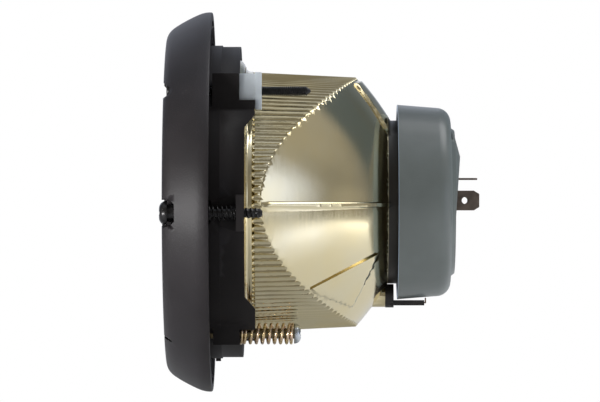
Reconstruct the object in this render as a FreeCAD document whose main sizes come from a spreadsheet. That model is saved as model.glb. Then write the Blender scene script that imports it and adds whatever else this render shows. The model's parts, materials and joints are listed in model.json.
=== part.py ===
"""Oval motorbike headlight: bezel, tilting lamp unit, bulb, dust cap, aiming hardware.

Millimetres. X runs to the rear of the lamp, Y to the rider's right, Z up. The origin is
on the optical axis, in the plane of the bezel's rear rim.
"""

import FreeCAD, Part
import math
import operator
import os
from types import SimpleNamespace

import Sketcher
from FreeCAD import Placement, Rotation, Vector

SIZES = [
    # All ovals are ellipses this much wider than high, on each side
    ("oval_stretch", 31.0, "half-width less half-height of every oval"),
    # Bezel
    ("rim_over", 13.7, "rear rim beyond the carrier ring"),
    ("bezel_depth", 17.9, "front face to rear rim"),
    ("shoulder_back", 5.2, "rim to the end of the flat shoulder"),
    ("shoulder_drop", 0.8, "fall of the outline at the shoulder"),
    ("slope_back", 13.2, "rim to the end of the slope"),
    ("slope_drop", 4.9, "fall of the outline at the end of the slope"),
    ("edge_back", 16.4, "rim to the rounded front edge"),
    ("edge_drop", 7.3, "fall of the outline at the front edge"),
    ("front_drop", 9.8, "fall of the outline at the front face"),
    ("bezel_wall", 2.5, "side wall"),
    ("front_wall", 3.4, "front wall"),
    ("window_lap", 3.0, "window inside the reflector flange"),
    ("flare_front", 6.0, "window flare at the front face"),
    ("flare_mid", 1.5, "window flare behind the front wall"),
    ("lip_wall", 2.0, "wall of the window lip"),
    ("lip_back", 9.0, "rim to the end of the window lip"),
    ("fixing_across", 50.0, "fixing holes, spacing across"),
    ("fixing_in", 9.7, "fixing holes inside the rear rim"),
    ("fixing_hole_r", 2.1, "fixing hole radius"),
    ("fixing_depth", 10.0, "fixing hole depth"),
    ("fixing_boss_r", 4.5, "fixing boss radius"),
    ("pocket_gap", 0.35, "pocket beyond the pivot screw head"),
    ("slit_deep", 3.1, "depth of the edge slits"),
    ("slit_fall", 2.6, "fall of the edge slits"),
    ("slit_wide", 0.6, "width of the edge slits"),
    # Reflector
    ("flange_half", 57.5, "half-height of the front flange"),
    ("flange_depth", 8.0, "straight part of the flange"),
    ("shoulder_end", 13.6, "where the fluted wall starts"),
    ("shoulder_bulge", 1.3, "fall of the flange shoulder at its middle"),
    ("wall_step", 5.6, "wall inside the flange at the shoulder"),
    ("wall_draft", 0.0486, "fall of the wall for each mm of depth"),
    ("flute_pitch", 3.05, "distance from ridge to ridge"),
    ("flute_depth", 1.1, "hollow of each flute"),
    ("flute_start", 16.2, "where the flutes begin"),
    ("bowl_focus", 28.0, "focal length of the bowl"),
    ("bowl_vertex", 79.2, "vertex of the outer bowl"),
    ("reflector_wall", 2.2, "wall of the bowl and oval"),
    ("panel_lift", 1.2, "step of the raised panels"),
    ("rib_high", 1.6, "height of the side rib"),
    ("rib_drop", 0.4, "top of the side rib below the axis"),
    ("strip_wide", 38.0, "top strip across"),
    ("strip_low", 24.0, "lower end of the top strip"),
    ("strip_long", 34.2, "top strip ahead of the bowl vertex"),
    ("wedge_front", 41.3, "front corner of the wedge ahead of the bowl vertex"),
    ("wedge_low", 23.7, "low corner of the wedge ahead of the bowl vertex"),
    ("wedge_rear", 13.3, "rear corner of the wedge ahead of the bowl vertex"),
    ("wedge_front_in", 17.4, "front corner inside the wall"),
    ("wedge_low_in", 10.4, "low corner inside the wall"),
    ("wedge_rear_in", 31.5, "rear corner inside the wall"),
    ("neck_r", 32.6, "neck radius"),
    ("neck_out", 1.8, "neck behind the bowl"),
    ("neck_wall", 2.4, "wall of the neck"),
    ("neck_deep", 6.5, "depth of the hollow neck"),
    ("seat_in", 1.5, "bulb seat inside the neck"),
    ("seat_over", 2.0, "bulb seat beyond the bulb flange"),
    ("groove_lip", 2.1, "flange wall outside the lens groove"),
    ("groove_width", 3.0, "width of the lens groove"),
    ("groove_depth", 5.0, "depth of the lens groove"),
    # Lens
    ("lens_rise", 9.0, "height of the dome"),
    ("lens_crown", 1.35, "size of the dome's ellipsoid to the lens"),
    ("lens_thick", 3.0, "glass thickness"),
    ("lens_front", 1.5, "front of the rim ahead of the flange"),
    ("seal_thick", 1.4, "sealing ring"),
    ("close_fit", 0.2, "gap of a seated part"),
    # Carrier frame
    ("carrier_wall", 4.3, "wall of the ring above the flange"),
    ("carrier_narrow", 1.5, "ring narrower at the sides"),
    ("carrier_front", 2.5, "ring ahead of the rim plane"),
    ("carrier_band", 0.5, "step of the front band"),
    ("band_end", 4.0, "end of the front band"),
    ("carrier_top_end", 11.3, "rear edge at the top"),
    ("carrier_low_end", 12.2, "rear edge below the lower bosses"),
    ("carrier_side_end", 13.4, "rear edge at the sides"),
    ("carrier_boss_end", 17.4, "rear edge at the corner bosses"),
    ("side_upper_in", 14.1, "low side wall below the aim screws"),
    ("side_lower_in", 14.8, "low side wall above the tension screws"),
    ("side_chamfer", 4.8, "height of the sloped ends"),
    ("boss_upper_in", 3.6, "upper bosses below the aim screws"),
    ("boss_lower_out", 3.0, "lower bosses below the tension screws"),
    ("lug_front", 1.0, "front of the screw lugs"),
    ("ear_thick", 3.0, "side ear"),
    ("ear_reach", 5.4, "ear beyond the pivot screw"),
    ("ear_high", 14.0, "ear height"),
    ("lug_side", 6.5, "lower lug round its screw"),
    ("lug_low", 4.2, "lower lug below its screw"),
    ("guard_thick", 2.2, "wall beside the nut"),
    ("nut_snout_in", 3.5, "nut snout behind the lug front"),
    # Screws
    ("aim_in_y", 24.5, "aim screws inside the ring, sideways"),
    ("aim_in_z", 19.1, "aim screws inside the ring, upright"),
    ("aim_r", 1.9, "aim screw radius"),
    ("aim_tip", 38.9, "rear tip of the aim screws"),
    ("aim_head_r", 3.8, "aim screw head radius"),
    ("aim_head", 1.4, "aim screw head height"),
    ("aim_seat", 15.4, "aim screw seat ahead of the rim plane"),
    ("nut_wide", 10.0, "nut across"),
    ("nut_high", 13.4, "nut upright"),
    ("nut_flange", 2.6, "nut flange thickness"),
    ("nut_brim", 0.5, "nut flange beyond its body"),
    ("nut_bore_gap", 0.5, "free space round the aim screw"),
    ("pivot_out", 3.8, "pivot screws outside the ring"),
    ("pivot_drop", 4.2, "pivot screws, below the axis"),
    ("pivot_r", 1.75, "pivot screw radius"),
    ("pivot_tip", 20.5, "rear tip of the pivot screws"),
    ("pivot_head_r", 4.65, "pivot screw head radius"),
    ("pivot_head", 3.0, "pivot screw head height"),
    ("pivot_collar", 2.8, "collar under the head"),
    ("pivot_seat", 13.1, "pocket floor ahead of the rim plane"),
    ("tension_in_y", 41.5, "tension screws inside the ring, sideways"),
    ("tension_in_z", 10.7, "tension screws inside the ring, upright"),
    ("tension_r", 2.0, "tension screw radius"),
    ("tension_seat", 32.5, "underside of the tension screw head"),
    ("tension_head_r", 3.9, "tension screw head radius"),
    ("tension_head", 2.6, "tension screw head height"),
    ("tension_tip", 11.5, "front tip ahead of the rim plane"),
    ("boss_r", 4.2, "screw bosses in the bezel"),
    ("pivot_boss_gap", 0.6, "pivot boss short of the rim plane"),
    ("tension_boss_gap", 5.6, "tension boss short of the rim plane"),
    ("screw_gap", 0.2, "free space round a screw in its hole"),
    ("lug_gap", 0.9, "free space round a screw in a tilting lug"),
    ("boss_gap", 1.3, "free space between the tilting ring and a boss"),
    # Springs
    ("pivot_coil_r", 2.5, "pivot spring, mean radius"),
    ("pivot_wire_r", 0.36, "pivot spring wire"),
    ("pivot_turns", 6.0, "pivot spring turns"),
    ("tension_coil_r", 3.7, "tension spring, mean radius"),
    ("tension_wire_r", 0.58, "tension spring wire"),
    ("tension_turns", 9.0, "tension spring turns"),
    # Dust cap
    ("cap_lap", 7.4, "cap ahead of the neck end"),
    ("cap_over", 6.3, "front edge beyond the neck"),
    ("cap_out", 13.8, "rear face behind the neck end"),
    ("cap_draft", 1.7, "rear face smaller than the front"),
    ("cap_round", 5.5, "rounded rear edge"),
    ("cap_wall", 2.5, "wall"),
    ("cap_disc_in", 7.4, "raised disc inside the rear face"),
    ("cap_disc", 1.6, "height of the raised disc"),
    ("cap_hole_gap", 0.3, "free space round the bulb"),
    ("cap_ridge_z", 18.0, "height of the pull ridge"),
    ("cap_ridge", 2.1, "pull ridge above the disc"),
    ("cap_ridge_wide", 32.0, "pull ridge across"),
    # Main bulb
    ("bulb_flange_r", 21.5, "bulb flange radius"),
    ("bulb_flange", 1.0, "bulb flange thickness"),
    ("bulb_barrel_r", 13.0, "rear barrel radius"),
    ("bulb_barrel", 8.5, "barrel behind the seat"),
    ("collar_in", 2.6, "collar inside the bulb flange"),
    ("glass_r", 8.5, "glass radius"),
    ("glass_thick", 1.05, "glass thickness"),
    ("glass_long", 58.0, "front tip of the glass ahead of the seat"),
    ("insulator_out", 0.6, "insulator behind the cap"),
    ("blade_wide", 7.9, "blade width"),
    ("blade_thick", 0.8, "blade thickness"),
    ("blade_side", 8.7, "side blades off the axis"),
    ("blade_lift", 0.6, "side blades above the axis"),
    ("blade_top", 9.2, "top blade above the axis"),
    ("blade_out", 10.8, "side blades behind the insulator"),
    ("blade_short", 0.6, "top blade shorter by"),
    ("blade_chamfer", 2.2, "blade corner"),
    ("blade_hole_r", 1.4, "blade hole radius"),
    ("blade_hole_back", 5.6, "hole to the blade end"),
    ("clip_r", 0.7, "clip wire radius"),
    ("clip_half", 15.5, "clip half-width"),
    ("clip_reach", 24.0, "clip leg length past the axis"),
    # Sidelight
    ("side_lift", 1.8, "sidelight axis above the top of its bar"),
    ("side_boss_r", 4.5, "boss on the bowl"),
    ("side_boss_in", 10.4, "boss end ahead of the bowl vertex"),
    ("side_stub_r", 3.2, "stub of the holder"),
    ("side_block_r", 4.7, "block of the holder"),
    ("side_block", 3.3, "block depth"),
    ("side_bar", 15.6, "bar behind the boss"),
    ("side_bar_gap", 0.4, "bar below the cap"),
    ("side_bar_thick", 2.0, "bar thickness"),
    ("side_bar_wide", 7.0, "bar width"),
    ("side_bulb_r", 2.1, "sidelight bulb radius"),
    ("side_bulb_long", 17.8, "tip of the sidelight bulb ahead of the boss end"),
]

SIDES = {"left": -1, "right": 1}
ALONG_X = Rotation(Vector(0, 1, 0), 90)
ACROSS_X = Rotation(Vector(1, 1, 1), 120)


class Dim:
    """A size: its number, and the sheet formula that gives it."""

    def __init__(self, text, number):
        self.text = text
        self.number = number

    def __add__(self, other):
        return joined(self, "+", other, operator.add)

    def __radd__(self, other):
        return joined(other, "+", self, operator.add)

    def __sub__(self, other):
        return joined(self, "-", other, operator.sub)

    def __rsub__(self, other):
        return joined(other, "-", self, operator.sub)

    def __mul__(self, other):
        return joined(self, "*", other, operator.mul)

    def __rmul__(self, other):
        return joined(other, "*", self, operator.mul)

    def __truediv__(self, other):
        return joined(self, "/", other, operator.truediv)

    def __rtruediv__(self, other):
        return joined(other, "/", self, operator.truediv)

    def __neg__(self):
        return 0 - self


def dim(value):
    """A size from a size or a plain number."""
    return value if isinstance(value, Dim) else Dim(f"({float(value)!r})", float(value))


def joined(first, sign, second, work):
    """Two sizes worked into one."""
    first = dim(first)
    second = dim(second)
    return Dim(f"({first.text} {sign} {second.text})", work(first.number, second.number))


def root(value):
    """Square root of a size."""
    return Dim(f"sqrt({value.text})", math.sqrt(value.number))


def worked_sizes(s):
    """Add the sizes that follow from others and a named fit."""
    s.groove_half = s.flange_half - s.groove_lip - s.groove_width
    s.wall_half = s.flange_half - s.wall_step
    s.aperture_half = s.flange_half - s.window_lap
    s.carrier_half = s.flange_half + s.close_fit + s.carrier_wall
    s.carrier_stretch = s.oval_stretch - s.carrier_narrow
    s.rim_half = s.carrier_half + s.rim_over
    s.fixing_upright = 2 * (s.rim_half - s.fixing_in)
    s.aim_y = s.carrier_half + s.carrier_stretch - s.aim_in_y
    s.aim_z = s.carrier_half - s.aim_in_z
    s.pivot_y = s.carrier_half + s.carrier_stretch + s.pivot_out
    s.tension_y = s.carrier_half + s.carrier_stretch - s.tension_in_y
    s.tension_drop = s.carrier_half - s.tension_in_z
    s.side_upper = s.aim_z - s.side_upper_in
    s.side_lower = s.tension_drop - s.side_lower_in
    s.boss_upper = s.aim_z - s.boss_upper_in
    s.boss_lower = s.tension_drop + s.boss_lower_out
    s.neck_end = s.bowl_vertex + s.neck_out
    s.neck_floor = s.neck_end - s.neck_deep
    s.seat_x = s.neck_end - s.seat_in
    s.seat_r = s.bulb_flange_r + s.seat_over
    s.bulb_collar_r = s.bulb_flange_r - s.collar_in
    s.cap_front = s.neck_end - s.cap_lap
    s.cap_rear = s.neck_end + s.cap_out
    s.cap_front_r = s.neck_r + s.cap_over
    s.cap_rear_r = s.cap_front_r - s.cap_draft
    s.cap_disc_r = s.cap_rear_r - s.cap_disc_in
    s.bulb_barrel_end = s.seat_x + s.bulb_barrel
    s.glass_tip = s.seat_x - s.glass_long
    s.insulator_end = s.cap_rear + s.insulator_out
    s.blade_end = s.insulator_end + s.blade_out
    s.side_bar_top = s.cap_front_r + s.side_bar_gap
    s.side_drop = s.side_bar_top - s.side_lift
    s.side_boss_end = s.bowl_vertex - s.side_boss_in
    s.side_bar_end = s.side_boss_end + s.side_bar
    s.side_bulb_tip = s.side_boss_end - s.side_bulb_long


def size_sheet(document):
    """The sheet of sizes, and the sizes by name."""
    sheet = document.addObject("Spreadsheet::Sheet", "Sizes")
    named = SimpleNamespace()
    for row, (name, number, note) in enumerate(SIZES, start=1):
        sheet.set(f"A{row}", note)
        sheet.set(f"B{row}", str(number))
        sheet.setAlias(f"B{row}", name)
        setattr(named, name, Dim(f"Sizes.{name}", number))
    worked_sizes(named)
    document.recompute()
    return named


doc = FreeCAD.newDocument("OvalHeadlight")
S = size_sheet(doc)
NODES = {}


def bind(item, sizes):
    """Tie properties of an object to sheet formulas."""
    for path, value in sizes.items():
        item.setExpression(path, dim(value).text)


def put(item, x, y, z):
    """Tie an object's place to sheet formulas."""
    item.Placement.Base = Vector(dim(x).number, dim(y).number, dim(z).number)
    bind(item, {"Placement.Base.x": x, "Placement.Base.y": y, "Placement.Base.z": z})


def oval(x, half, stretch):
    """An upright ellipse across the lamp axis."""
    item = doc.addObject("Part::Ellipse", "Oval")
    item.Placement = Placement(Vector(), ACROSS_X)
    bind(item, {"MajorRadius": half + stretch, "MinorRadius": half})
    put(item, x, 0, 0)
    return item


def oval_block(start, end, half, stretch):
    """A straight solid on an oval."""
    item = doc.addObject("Part::Extrusion", "OvalBlock")
    item.Base = oval(start, half, stretch)
    item.DirMode = "Custom"
    item.Dir = Vector(1, 0, 0)
    item.Solid = True
    bind(item, {"LengthFwd": end - start})
    return item


def oval_solid(*sections, stretch=S.oval_stretch, smooth=False):
    """A solid through ovals given as (x, half-height)."""
    if len(sections) == 2 and sections[0][1] is sections[1][1]:
        return oval_block(sections[0][0], sections[1][0], sections[0][1], stretch)
    item = doc.addObject("Part::Loft", "OvalSolid")
    item.Sections = [oval(x, half, stretch) for x, half in sections]
    item.Solid = True
    item.Ruled = not smooth
    return item


def rod(start, end, radius, y=0, z=0):
    """A cylinder along the lamp axis."""
    item = doc.addObject("Part::Cylinder", "Rod")
    item.Placement = Placement(Vector(), ALONG_X)
    bind(item, {"Radius": radius, "Height": end - start})
    put(item, start, y, z)
    return item


def block(x, y, z):
    """A box from three (low, high) pairs."""
    item = doc.addObject("Part::Box", "Block")
    for side, (low, high) in zip(("Length", "Width", "Height"), (x, y, z)):
        bind(item, {side: dim(high) - low})
    put(item, x[0], y[0], z[0])
    return item


def fuse(*items):
    """Several solids as one."""
    item = doc.addObject("Part::MultiFuse", "Fuse")
    item.Shapes = list(items)
    return item


def cut(base, *tools):
    """A solid less others, one after another."""
    for tool in tools:
        item = doc.addObject("Part::Cut", "Cut")
        item.Base = base
        item.Tool = tool
        base = item
    return base


def common(*items):
    """What several solids share."""
    item = doc.addObject("Part::MultiCommon", "Common")
    item.Shapes = list(items)
    return item


def mirrored(low, high, side):
    """A (low, high) pair on one side of the middle."""
    return (low, high) if side > 0 else (-high, -low)


def origin_plane(body, role):
    """One of a body's own base planes."""
    return next(p for p in body.Origin.OriginFeatures if p.Role == role)


def sketch_on(body, role):
    """A new sketch on a base plane of a body."""
    item = body.newObject("Sketcher::SketchObject", "Outline")
    item.AttachmentSupport = [(origin_plane(body, role), "")]
    item.MapMode = "FlatFace"
    return item


def rounding(before, here, after, radius):
    """Arc that rounds a corner, its two ends, and whether it turns left."""
    to_before = (before - here).normalize()
    to_after = (after - here).normalize()
    half_angle = to_before.getAngle(to_after) / 2
    reach = radius / math.tan(half_angle)
    first = here + to_before * reach
    last = here + to_after * reach
    middle = here + (to_before + to_after).normalize() * (radius / math.sin(half_angle))
    left = (to_after.cross(to_before)).z > 0
    ends = (first, last) if left else (last, first)
    angles = [math.atan2(p.y - middle.y, p.x - middle.x) for p in ends]
    if angles[1] < angles[0]:
        angles[1] += 2 * math.pi
    circle = Part.Circle(middle, Vector(0, 0, 1), radius)
    return Part.ArcOfCircle(circle, *angles), first, last, left


def hold_point(sketch, geometry, position, x, y):
    """Tie a point of a sketch to sheet formulas."""
    for kind, value in (("DistanceX", x), ("DistanceY", y)):
        rule = Sketcher.Constraint(kind, -1, 1, geometry, position, dim(value).number)
        bind(sketch, {f"Constraints[{sketch.addConstraint(rule)}]": value})


def outline(sketch, corners):
    """Closed outline through corners (x, y) or, where rounded, (x, y, radius)."""
    points = [Vector(dim(c[0]).number, dim(c[1]).number, 0) for c in corners]
    count = len(corners)
    arcs = {}
    for i, corner in enumerate(corners):
        if len(corner) == 3:
            arcs[i] = rounding(points[i - 1], points[i], points[(i + 1) % count], corner[2].number)
    for i in range(count):
        ahead = (i + 1) % count
        start = arcs[i][2] if i in arcs else points[i]
        end = arcs[ahead][1] if ahead in arcs else points[ahead]
        sketch.addGeometry(Part.LineSegment(start, end))
    for i, corner in enumerate(corners):
        line_in = (i - 1) % count
        if i not in arcs:
            sketch.addConstraint(Sketcher.Constraint("Coincident", line_in, 2, i, 1))
            hold_point(sketch, i, 1, corner[0], corner[1])
            continue
        arc = sketch.addGeometry(arcs[i][0])
        near, far = (1, 2) if arcs[i][3] else (2, 1)
        sketch.addConstraint(Sketcher.Constraint("Tangent", line_in, 2, arc, near))
        sketch.addConstraint(Sketcher.Constraint("Tangent", arc, far, i, 1))
        rule = sketch.addConstraint(Sketcher.Constraint("Radius", arc, corner[2].number))
        bind(sketch, {f"Constraints[{rule}]": corner[2]})
        mark = sketch.addGeometry(Part.Point(points[i]), True)
        hold_point(sketch, mark, 1, corner[0], corner[1])
        sketch.addConstraint(Sketcher.Constraint("PointOnObject", mark, 1, line_in))
        sketch.addConstraint(Sketcher.Constraint("PointOnObject", mark, 1, i))


def ring_outline(sketch, x, y, radius):
    """A circle in a sketch."""
    circle = sketch.addGeometry(Part.Circle(Vector(x.number, y.number, 0), Vector(0, 0, 1), radius.number))
    rule = sketch.addConstraint(Sketcher.Constraint("Radius", circle, radius.number))
    bind(sketch, {f"Constraints[{rule}]": radius})
    hold_point(sketch, circle, 3, x, y)


def turned(profile, y=0, z=0):
    """A body turned about the lamp axis from (x, radius) corners."""
    body = doc.addObject("PartDesign::Body", "Turned")
    sketch = sketch_on(body, "XZ_Plane")
    outline(sketch, profile)
    turn = body.newObject("PartDesign::Revolution", "Turn")
    turn.Profile = sketch
    turn.ReferenceAxis = (sketch, ["H_Axis"])
    turn.Angle = 360
    put(body, 0, y, z)
    return body


def slab(role, corners, start, length, hole=None):
    """A flat body: an outline on a base plane, padded from start along its normal."""
    body = doc.addObject("PartDesign::Body", "Slab")
    sketch = sketch_on(body, role)
    bind(sketch, {"AttachmentOffset.Base.z": start})
    outline(sketch, corners)
    if hole:
        ring_outline(sketch, *hole)
    pad = body.newObject("PartDesign::Pad", "Pad")
    pad.Profile = sketch
    bind(pad, {"Length": length})
    return body


def side_slab(corners, low, high):
    """A flat body from (x, z) corners, between two sideways places."""
    return slab("XZ_Plane", corners, -dim(high), dim(high) - low)


def coil(start, end, mean_r, wire_r, turns, y, z, hand="Right-handed"):
    """A wire coil along the lamp axis whose wire just reaches both ends."""
    rise = end - start - 2 * wire_r
    helix = doc.addObject("Part::Helix", "Helix")
    helix.LocalCoord = hand
    helix.Placement = Placement(Vector(), ALONG_X)
    bind(helix, {"Radius": mean_r, "Height": rise, "Pitch": rise / turns})
    put(helix, start + wire_r, y, z)
    wire = doc.addObject("Part::Circle", "Wire")
    wire.Placement = Placement(Vector(), Rotation(Vector(1, 0, 0), 90))
    bind(wire, {"Radius": wire_r})
    put(wire, start + wire_r, y, z - mean_r)
    item = doc.addObject("Part::Sweep", "Coil")
    item.Sections = [wire]
    item.Spine = (helix, [])
    item.Solid = True
    item.Frenet = True
    return item


def node(name, item):
    """Name an object as one part of the headlight."""
    item.Label = name
    NODES[name] = item
    return item


def bezel_half(drop):
    """Half-height of the bezel outline where it has fallen by drop."""
    return S.rim_half - drop


def make_bezel():
    """Hollow oval bezel with a flared window, screw bosses and head pockets."""
    front = -S.bezel_depth
    inside = front + S.front_wall
    outer = oval_solid(
        (dim(0), S.rim_half),
        (-S.shoulder_back, bezel_half(S.shoulder_drop)),
        (-S.slope_back, bezel_half(S.slope_drop)),
        (-S.edge_back, bezel_half(S.edge_drop)),
        (front, bezel_half(S.front_drop)),
        smooth=True,
    )
    hollow = oval_solid(
        (dim(1), S.rim_half - S.bezel_wall),
        (-S.shoulder_back, bezel_half(S.shoulder_drop) - S.bezel_wall),
        (inside, bezel_half(S.edge_drop) - S.bezel_wall),
    )
    lip_half = S.aperture_half + S.flare_mid + S.lip_wall
    lip = oval_solid((inside - 1, lip_half), (-S.lip_back, lip_half))
    window = oval_solid(
        (front - 1, S.aperture_half + S.flare_front),
        (inside, S.aperture_half + S.flare_mid),
        (1 - S.lip_back, S.aperture_half),
    )
    bosses = []
    holes = []
    for side in SIDES.values():
        for up in (-1, 1):
            y = side * S.fixing_across / 2
            z = up * S.fixing_upright / 2
            bosses.append(rod(inside - 1, dim(0), S.fixing_boss_r, y, z))
            holes.append(rod(-S.fixing_depth, dim(1), S.fixing_hole_r, y, z))
        y = side * S.pivot_y
        bosses.append(rod(inside - 1, -S.pivot_boss_gap, S.boss_r, y, -S.pivot_drop))
        holes.append(rod(front - 1, dim(1), S.pivot_r + S.screw_gap, y, -S.pivot_drop))
        y = side * S.tension_y
        bosses.append(rod(inside - 1, -S.tension_boss_gap, S.boss_r, y, -S.tension_drop))
        holes.append(rod(-S.tension_tip - 1, dim(1), S.tension_r + S.screw_gap, y, -S.tension_drop))
        y = side * S.aim_y
        bosses.append(rod(inside - 1, -S.lip_back, S.boss_r, y, S.aim_z))
        holes.append(rod(front - 1, dim(1), S.aim_r + S.screw_gap, y, S.aim_z))
        holes.append(rod(front - 1, -S.aim_seat, S.aim_head_r + S.screw_gap, y, S.aim_z))
        holes.append(aim_channel(side))
        holes.append(pivot_pocket(side))
        holes.append(edge_slit(side))
    bosses = common(fuse(*bosses), outer)
    node("front_bezel", cut(fuse(cut(outer, hollow), lip, bosses), window, fuse(*holes)))


def aim_channel(side):
    """Open channel across the front edge for the driver of the aim screw."""
    front = -S.bezel_depth - 1
    half = S.aim_head_r
    corners = [
        (front, S.aim_z - half),
        (-S.aim_seat, S.aim_z - half / 3),
        (-S.aim_seat, S.aim_z + half / 3),
        (front, S.aim_z + half),
    ]
    return side_slab(corners, *mirrored(S.aim_y - 8, S.aim_y + 20, side))


def pivot_pocket(side):
    """Pocket with cut corners, open at front and side, for the pivot screw head."""
    front = -S.bezel_depth - 1
    half = S.pivot_head_r + S.pocket_gap
    corner = half / 3
    middle = -S.pivot_drop
    corners = [
        (front, middle - half),
        (-S.pivot_seat - corner, middle - half),
        (-S.pivot_seat, middle - half + corner),
        (-S.pivot_seat, middle + half - corner),
        (-S.pivot_seat - corner, middle + half),
        (front, middle + half),
    ]
    inner = S.pivot_y - S.pivot_head_r - 1
    return side_slab(corners, *mirrored(inner, S.pivot_y + 20, side))


def edge_slit(side):
    """Thin slit across the front edge beside the tension screw."""
    front = -S.bezel_depth - 0.5
    end = S.slit_deep - S.bezel_depth
    level = -S.tension_drop - S.slit_wide
    corners = [
        (front, level),
        (end, level - S.slit_fall),
        (end, level - S.slit_fall + S.slit_wide),
        (front, level + S.slit_wide),
    ]
    return side_slab(corners, *mirrored(S.tension_y + 4, S.tension_y + 20, side))


def make_carrier():
    """Ring round the reflector with stepped rear edge, screw lugs and side ears."""
    front = -S.carrier_front
    rear = S.carrier_boss_end
    ring = oval_solid((front, S.carrier_half), (rear, S.carrier_half), stretch=S.carrier_stretch)
    band_half = S.carrier_half + S.carrier_band
    band = oval_solid((front, band_half), (S.band_end, band_half), stretch=S.carrier_stretch)
    solids = [ring, band]
    solids.append(block((1.2, 3.2), (-2, 2), (-band_half - 1.1, -S.carrier_half + 1)))
    bore_half = S.flange_half + S.close_fit
    opening_half = S.groove_half + S.groove_width
    bore = oval_solid((dim(0) - S.close_fit, bore_half), (rear + 1, bore_half))
    opening = oval_solid((front - 1, opening_half), (dim(1), opening_half))
    notches = [
        rear_notch(S.carrier_top_end, S.boss_upper, S.carrier_half + 8),
        rear_notch(S.carrier_low_end, -S.carrier_half - 8, -S.boss_lower),
        side_notch(),
    ]
    holes = []
    lug = (S.lug_front, S.carrier_top_end)
    for side in SIDES.values():
        nut_y = (S.aim_y - S.nut_wide / 2 - S.close_fit, S.aim_y + S.nut_wide / 2 + S.close_fit)
        nut_z = (S.aim_z - S.nut_high / 2 - S.close_fit, S.aim_z + S.nut_high / 2 + 1)
        guard_end = nut_y[1] + S.guard_thick
        guard_y = mirrored(nut_y[1], guard_end, side)
        solids.append(block(lug, mirrored(nut_y[0] - 1, guard_end, side), (nut_z[0] - 5, nut_z[1] - 1)))
        solids.append(block((S.lug_front, rear), guard_y, (S.side_upper, S.boss_upper)))
        holes.append(block((S.carrier_top_end, rear + 1), mirrored(*nut_y, side), nut_z))
        holes.append(rod(front - 1, rear, S.aim_r + S.lug_gap + 1, side * S.aim_y, S.aim_z))
        y = mirrored(S.tension_y - S.lug_side, S.tension_y + S.lug_side, side)
        solids.append(block(lug, y, (-S.tension_drop - S.lug_low, S.lug_side - S.tension_drop)))
        holes.append(rod(front - 1, rear, S.tension_r + S.lug_gap, side * S.tension_y, -S.tension_drop))
        spring_r = S.tension_coil_r + S.tension_wire_r + 0.5
        holes.append(rod(S.carrier_top_end, rear + 1, spring_r, side * S.tension_y, -S.tension_drop))
        ear_y = mirrored(S.flange_half + S.oval_stretch + 1, S.pivot_y + S.ear_reach, side)
        ear_z = (-S.pivot_drop - S.ear_high / 2, S.ear_high / 2 - S.pivot_drop)
        solids.append(block((S.carrier_side_end - S.ear_thick, S.carrier_side_end), ear_y, ear_z))
        holes.append(rod(front - 1, rear, S.pivot_r + S.lug_gap / 2, side * S.pivot_y, -S.pivot_drop))
        relief = S.boss_gap - S.pivot_boss_gap
        holes.append(rod(front - 1, relief, S.boss_r + S.boss_gap, side * S.pivot_y, -S.pivot_drop))
    node("carrier_frame", cut(fuse(*solids), bore, opening, *notches, fuse(*holes)))


def rear_notch(edge, low, high):
    """Takes the ring back to a rear edge between two heights."""
    reach = S.carrier_half + S.carrier_stretch + 20
    return block((edge, S.carrier_boss_end + 1), (-reach, reach), (low, high))


def side_notch():
    """Takes the ring back to its side rear edge, with sloped ends."""
    deep = S.carrier_boss_end - S.carrier_side_end
    past = S.side_chamfer * (deep + 1) / deep
    corners = [
        (S.carrier_side_end, -S.side_lower),
        (S.carrier_boss_end + 1, -S.side_lower - past),
        (S.carrier_boss_end + 1, S.side_upper + past),
        (S.carrier_side_end, S.side_upper),
    ]
    reach = S.carrier_half + S.carrier_stretch + 20
    return side_slab(corners, -reach, reach)


def wall_half_at(x):
    """Half-height of the drafted reflector wall."""
    return S.wall_half - S.wall_draft * (x - S.shoulder_end)


def on_oval(half, fraction, inward, x):
    """Point at a fraction of the way round an oval, moved inward."""
    high = half.number
    wide = (half + S.oval_stretch).number
    steps = 720
    lengths = [0.0]
    for i in range(steps):
        angle = 2 * math.pi * (i + 0.5) / steps
        step = math.hypot(wide * math.sin(angle), high * math.cos(angle))
        lengths.append(lengths[-1] + step)
    goal = fraction % 1.0 * lengths[-1]
    i = next(i for i in range(steps) if lengths[i + 1] >= goal)
    angle = 2 * math.pi * (i + (goal - lengths[i]) / (lengths[i + 1] - lengths[i])) / steps
    out = Vector(0, high * math.cos(angle), wide * math.sin(angle)).normalize()
    return Vector(x.number, wide * math.cos(angle), high * math.sin(angle)) - out * inward


def flute_count():
    """Flutes that fit round the wall at its pitch."""
    high = S.wall_half.number
    wide = high + S.oval_stretch.number
    spread = ((wide - high) / (wide + high)) ** 2
    around = math.pi * (wide + high) * (1 + spread / 4 + spread * spread / 64)
    return 2 * round(around / S.flute_pitch.number / 2)


def flute_ring(x):
    """Outline of the fluted wall: hollow arcs that meet in sharp ridges."""
    half = wall_half_at(x)
    count = flute_count()
    arcs = []
    for i in range(count):
        start = on_oval(half, i / count, 0, x)
        middle = on_oval(half, (i + 0.5) / count, S.flute_depth.number, x)
        end = on_oval(half, (i + 1) / count, 0, x)
        arcs.append(Part.Arc(start, middle, end).toShape())
    return Part.Wire(arcs)


def bowl_shape(vertex):
    """Solid paraboloid that opens to the front."""
    reach = 100.0
    width = 4 * S.bowl_focus.number
    points = [Vector(vertex.number - (reach * i / 16) ** 2 / width, 0, reach * i / 16) for i in range(17)]
    curve = Part.BSplineCurve()
    curve.interpolate(points)
    rim = points[-1]
    ends = Part.makePolygon([rim, Vector(rim.x, 0, 0), points[0]])
    face = Part.Face(Part.Wire([curve.toShape()] + ends.Edges))
    return face.revolve(Vector(), Vector(1, 0, 0), 360)


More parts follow.
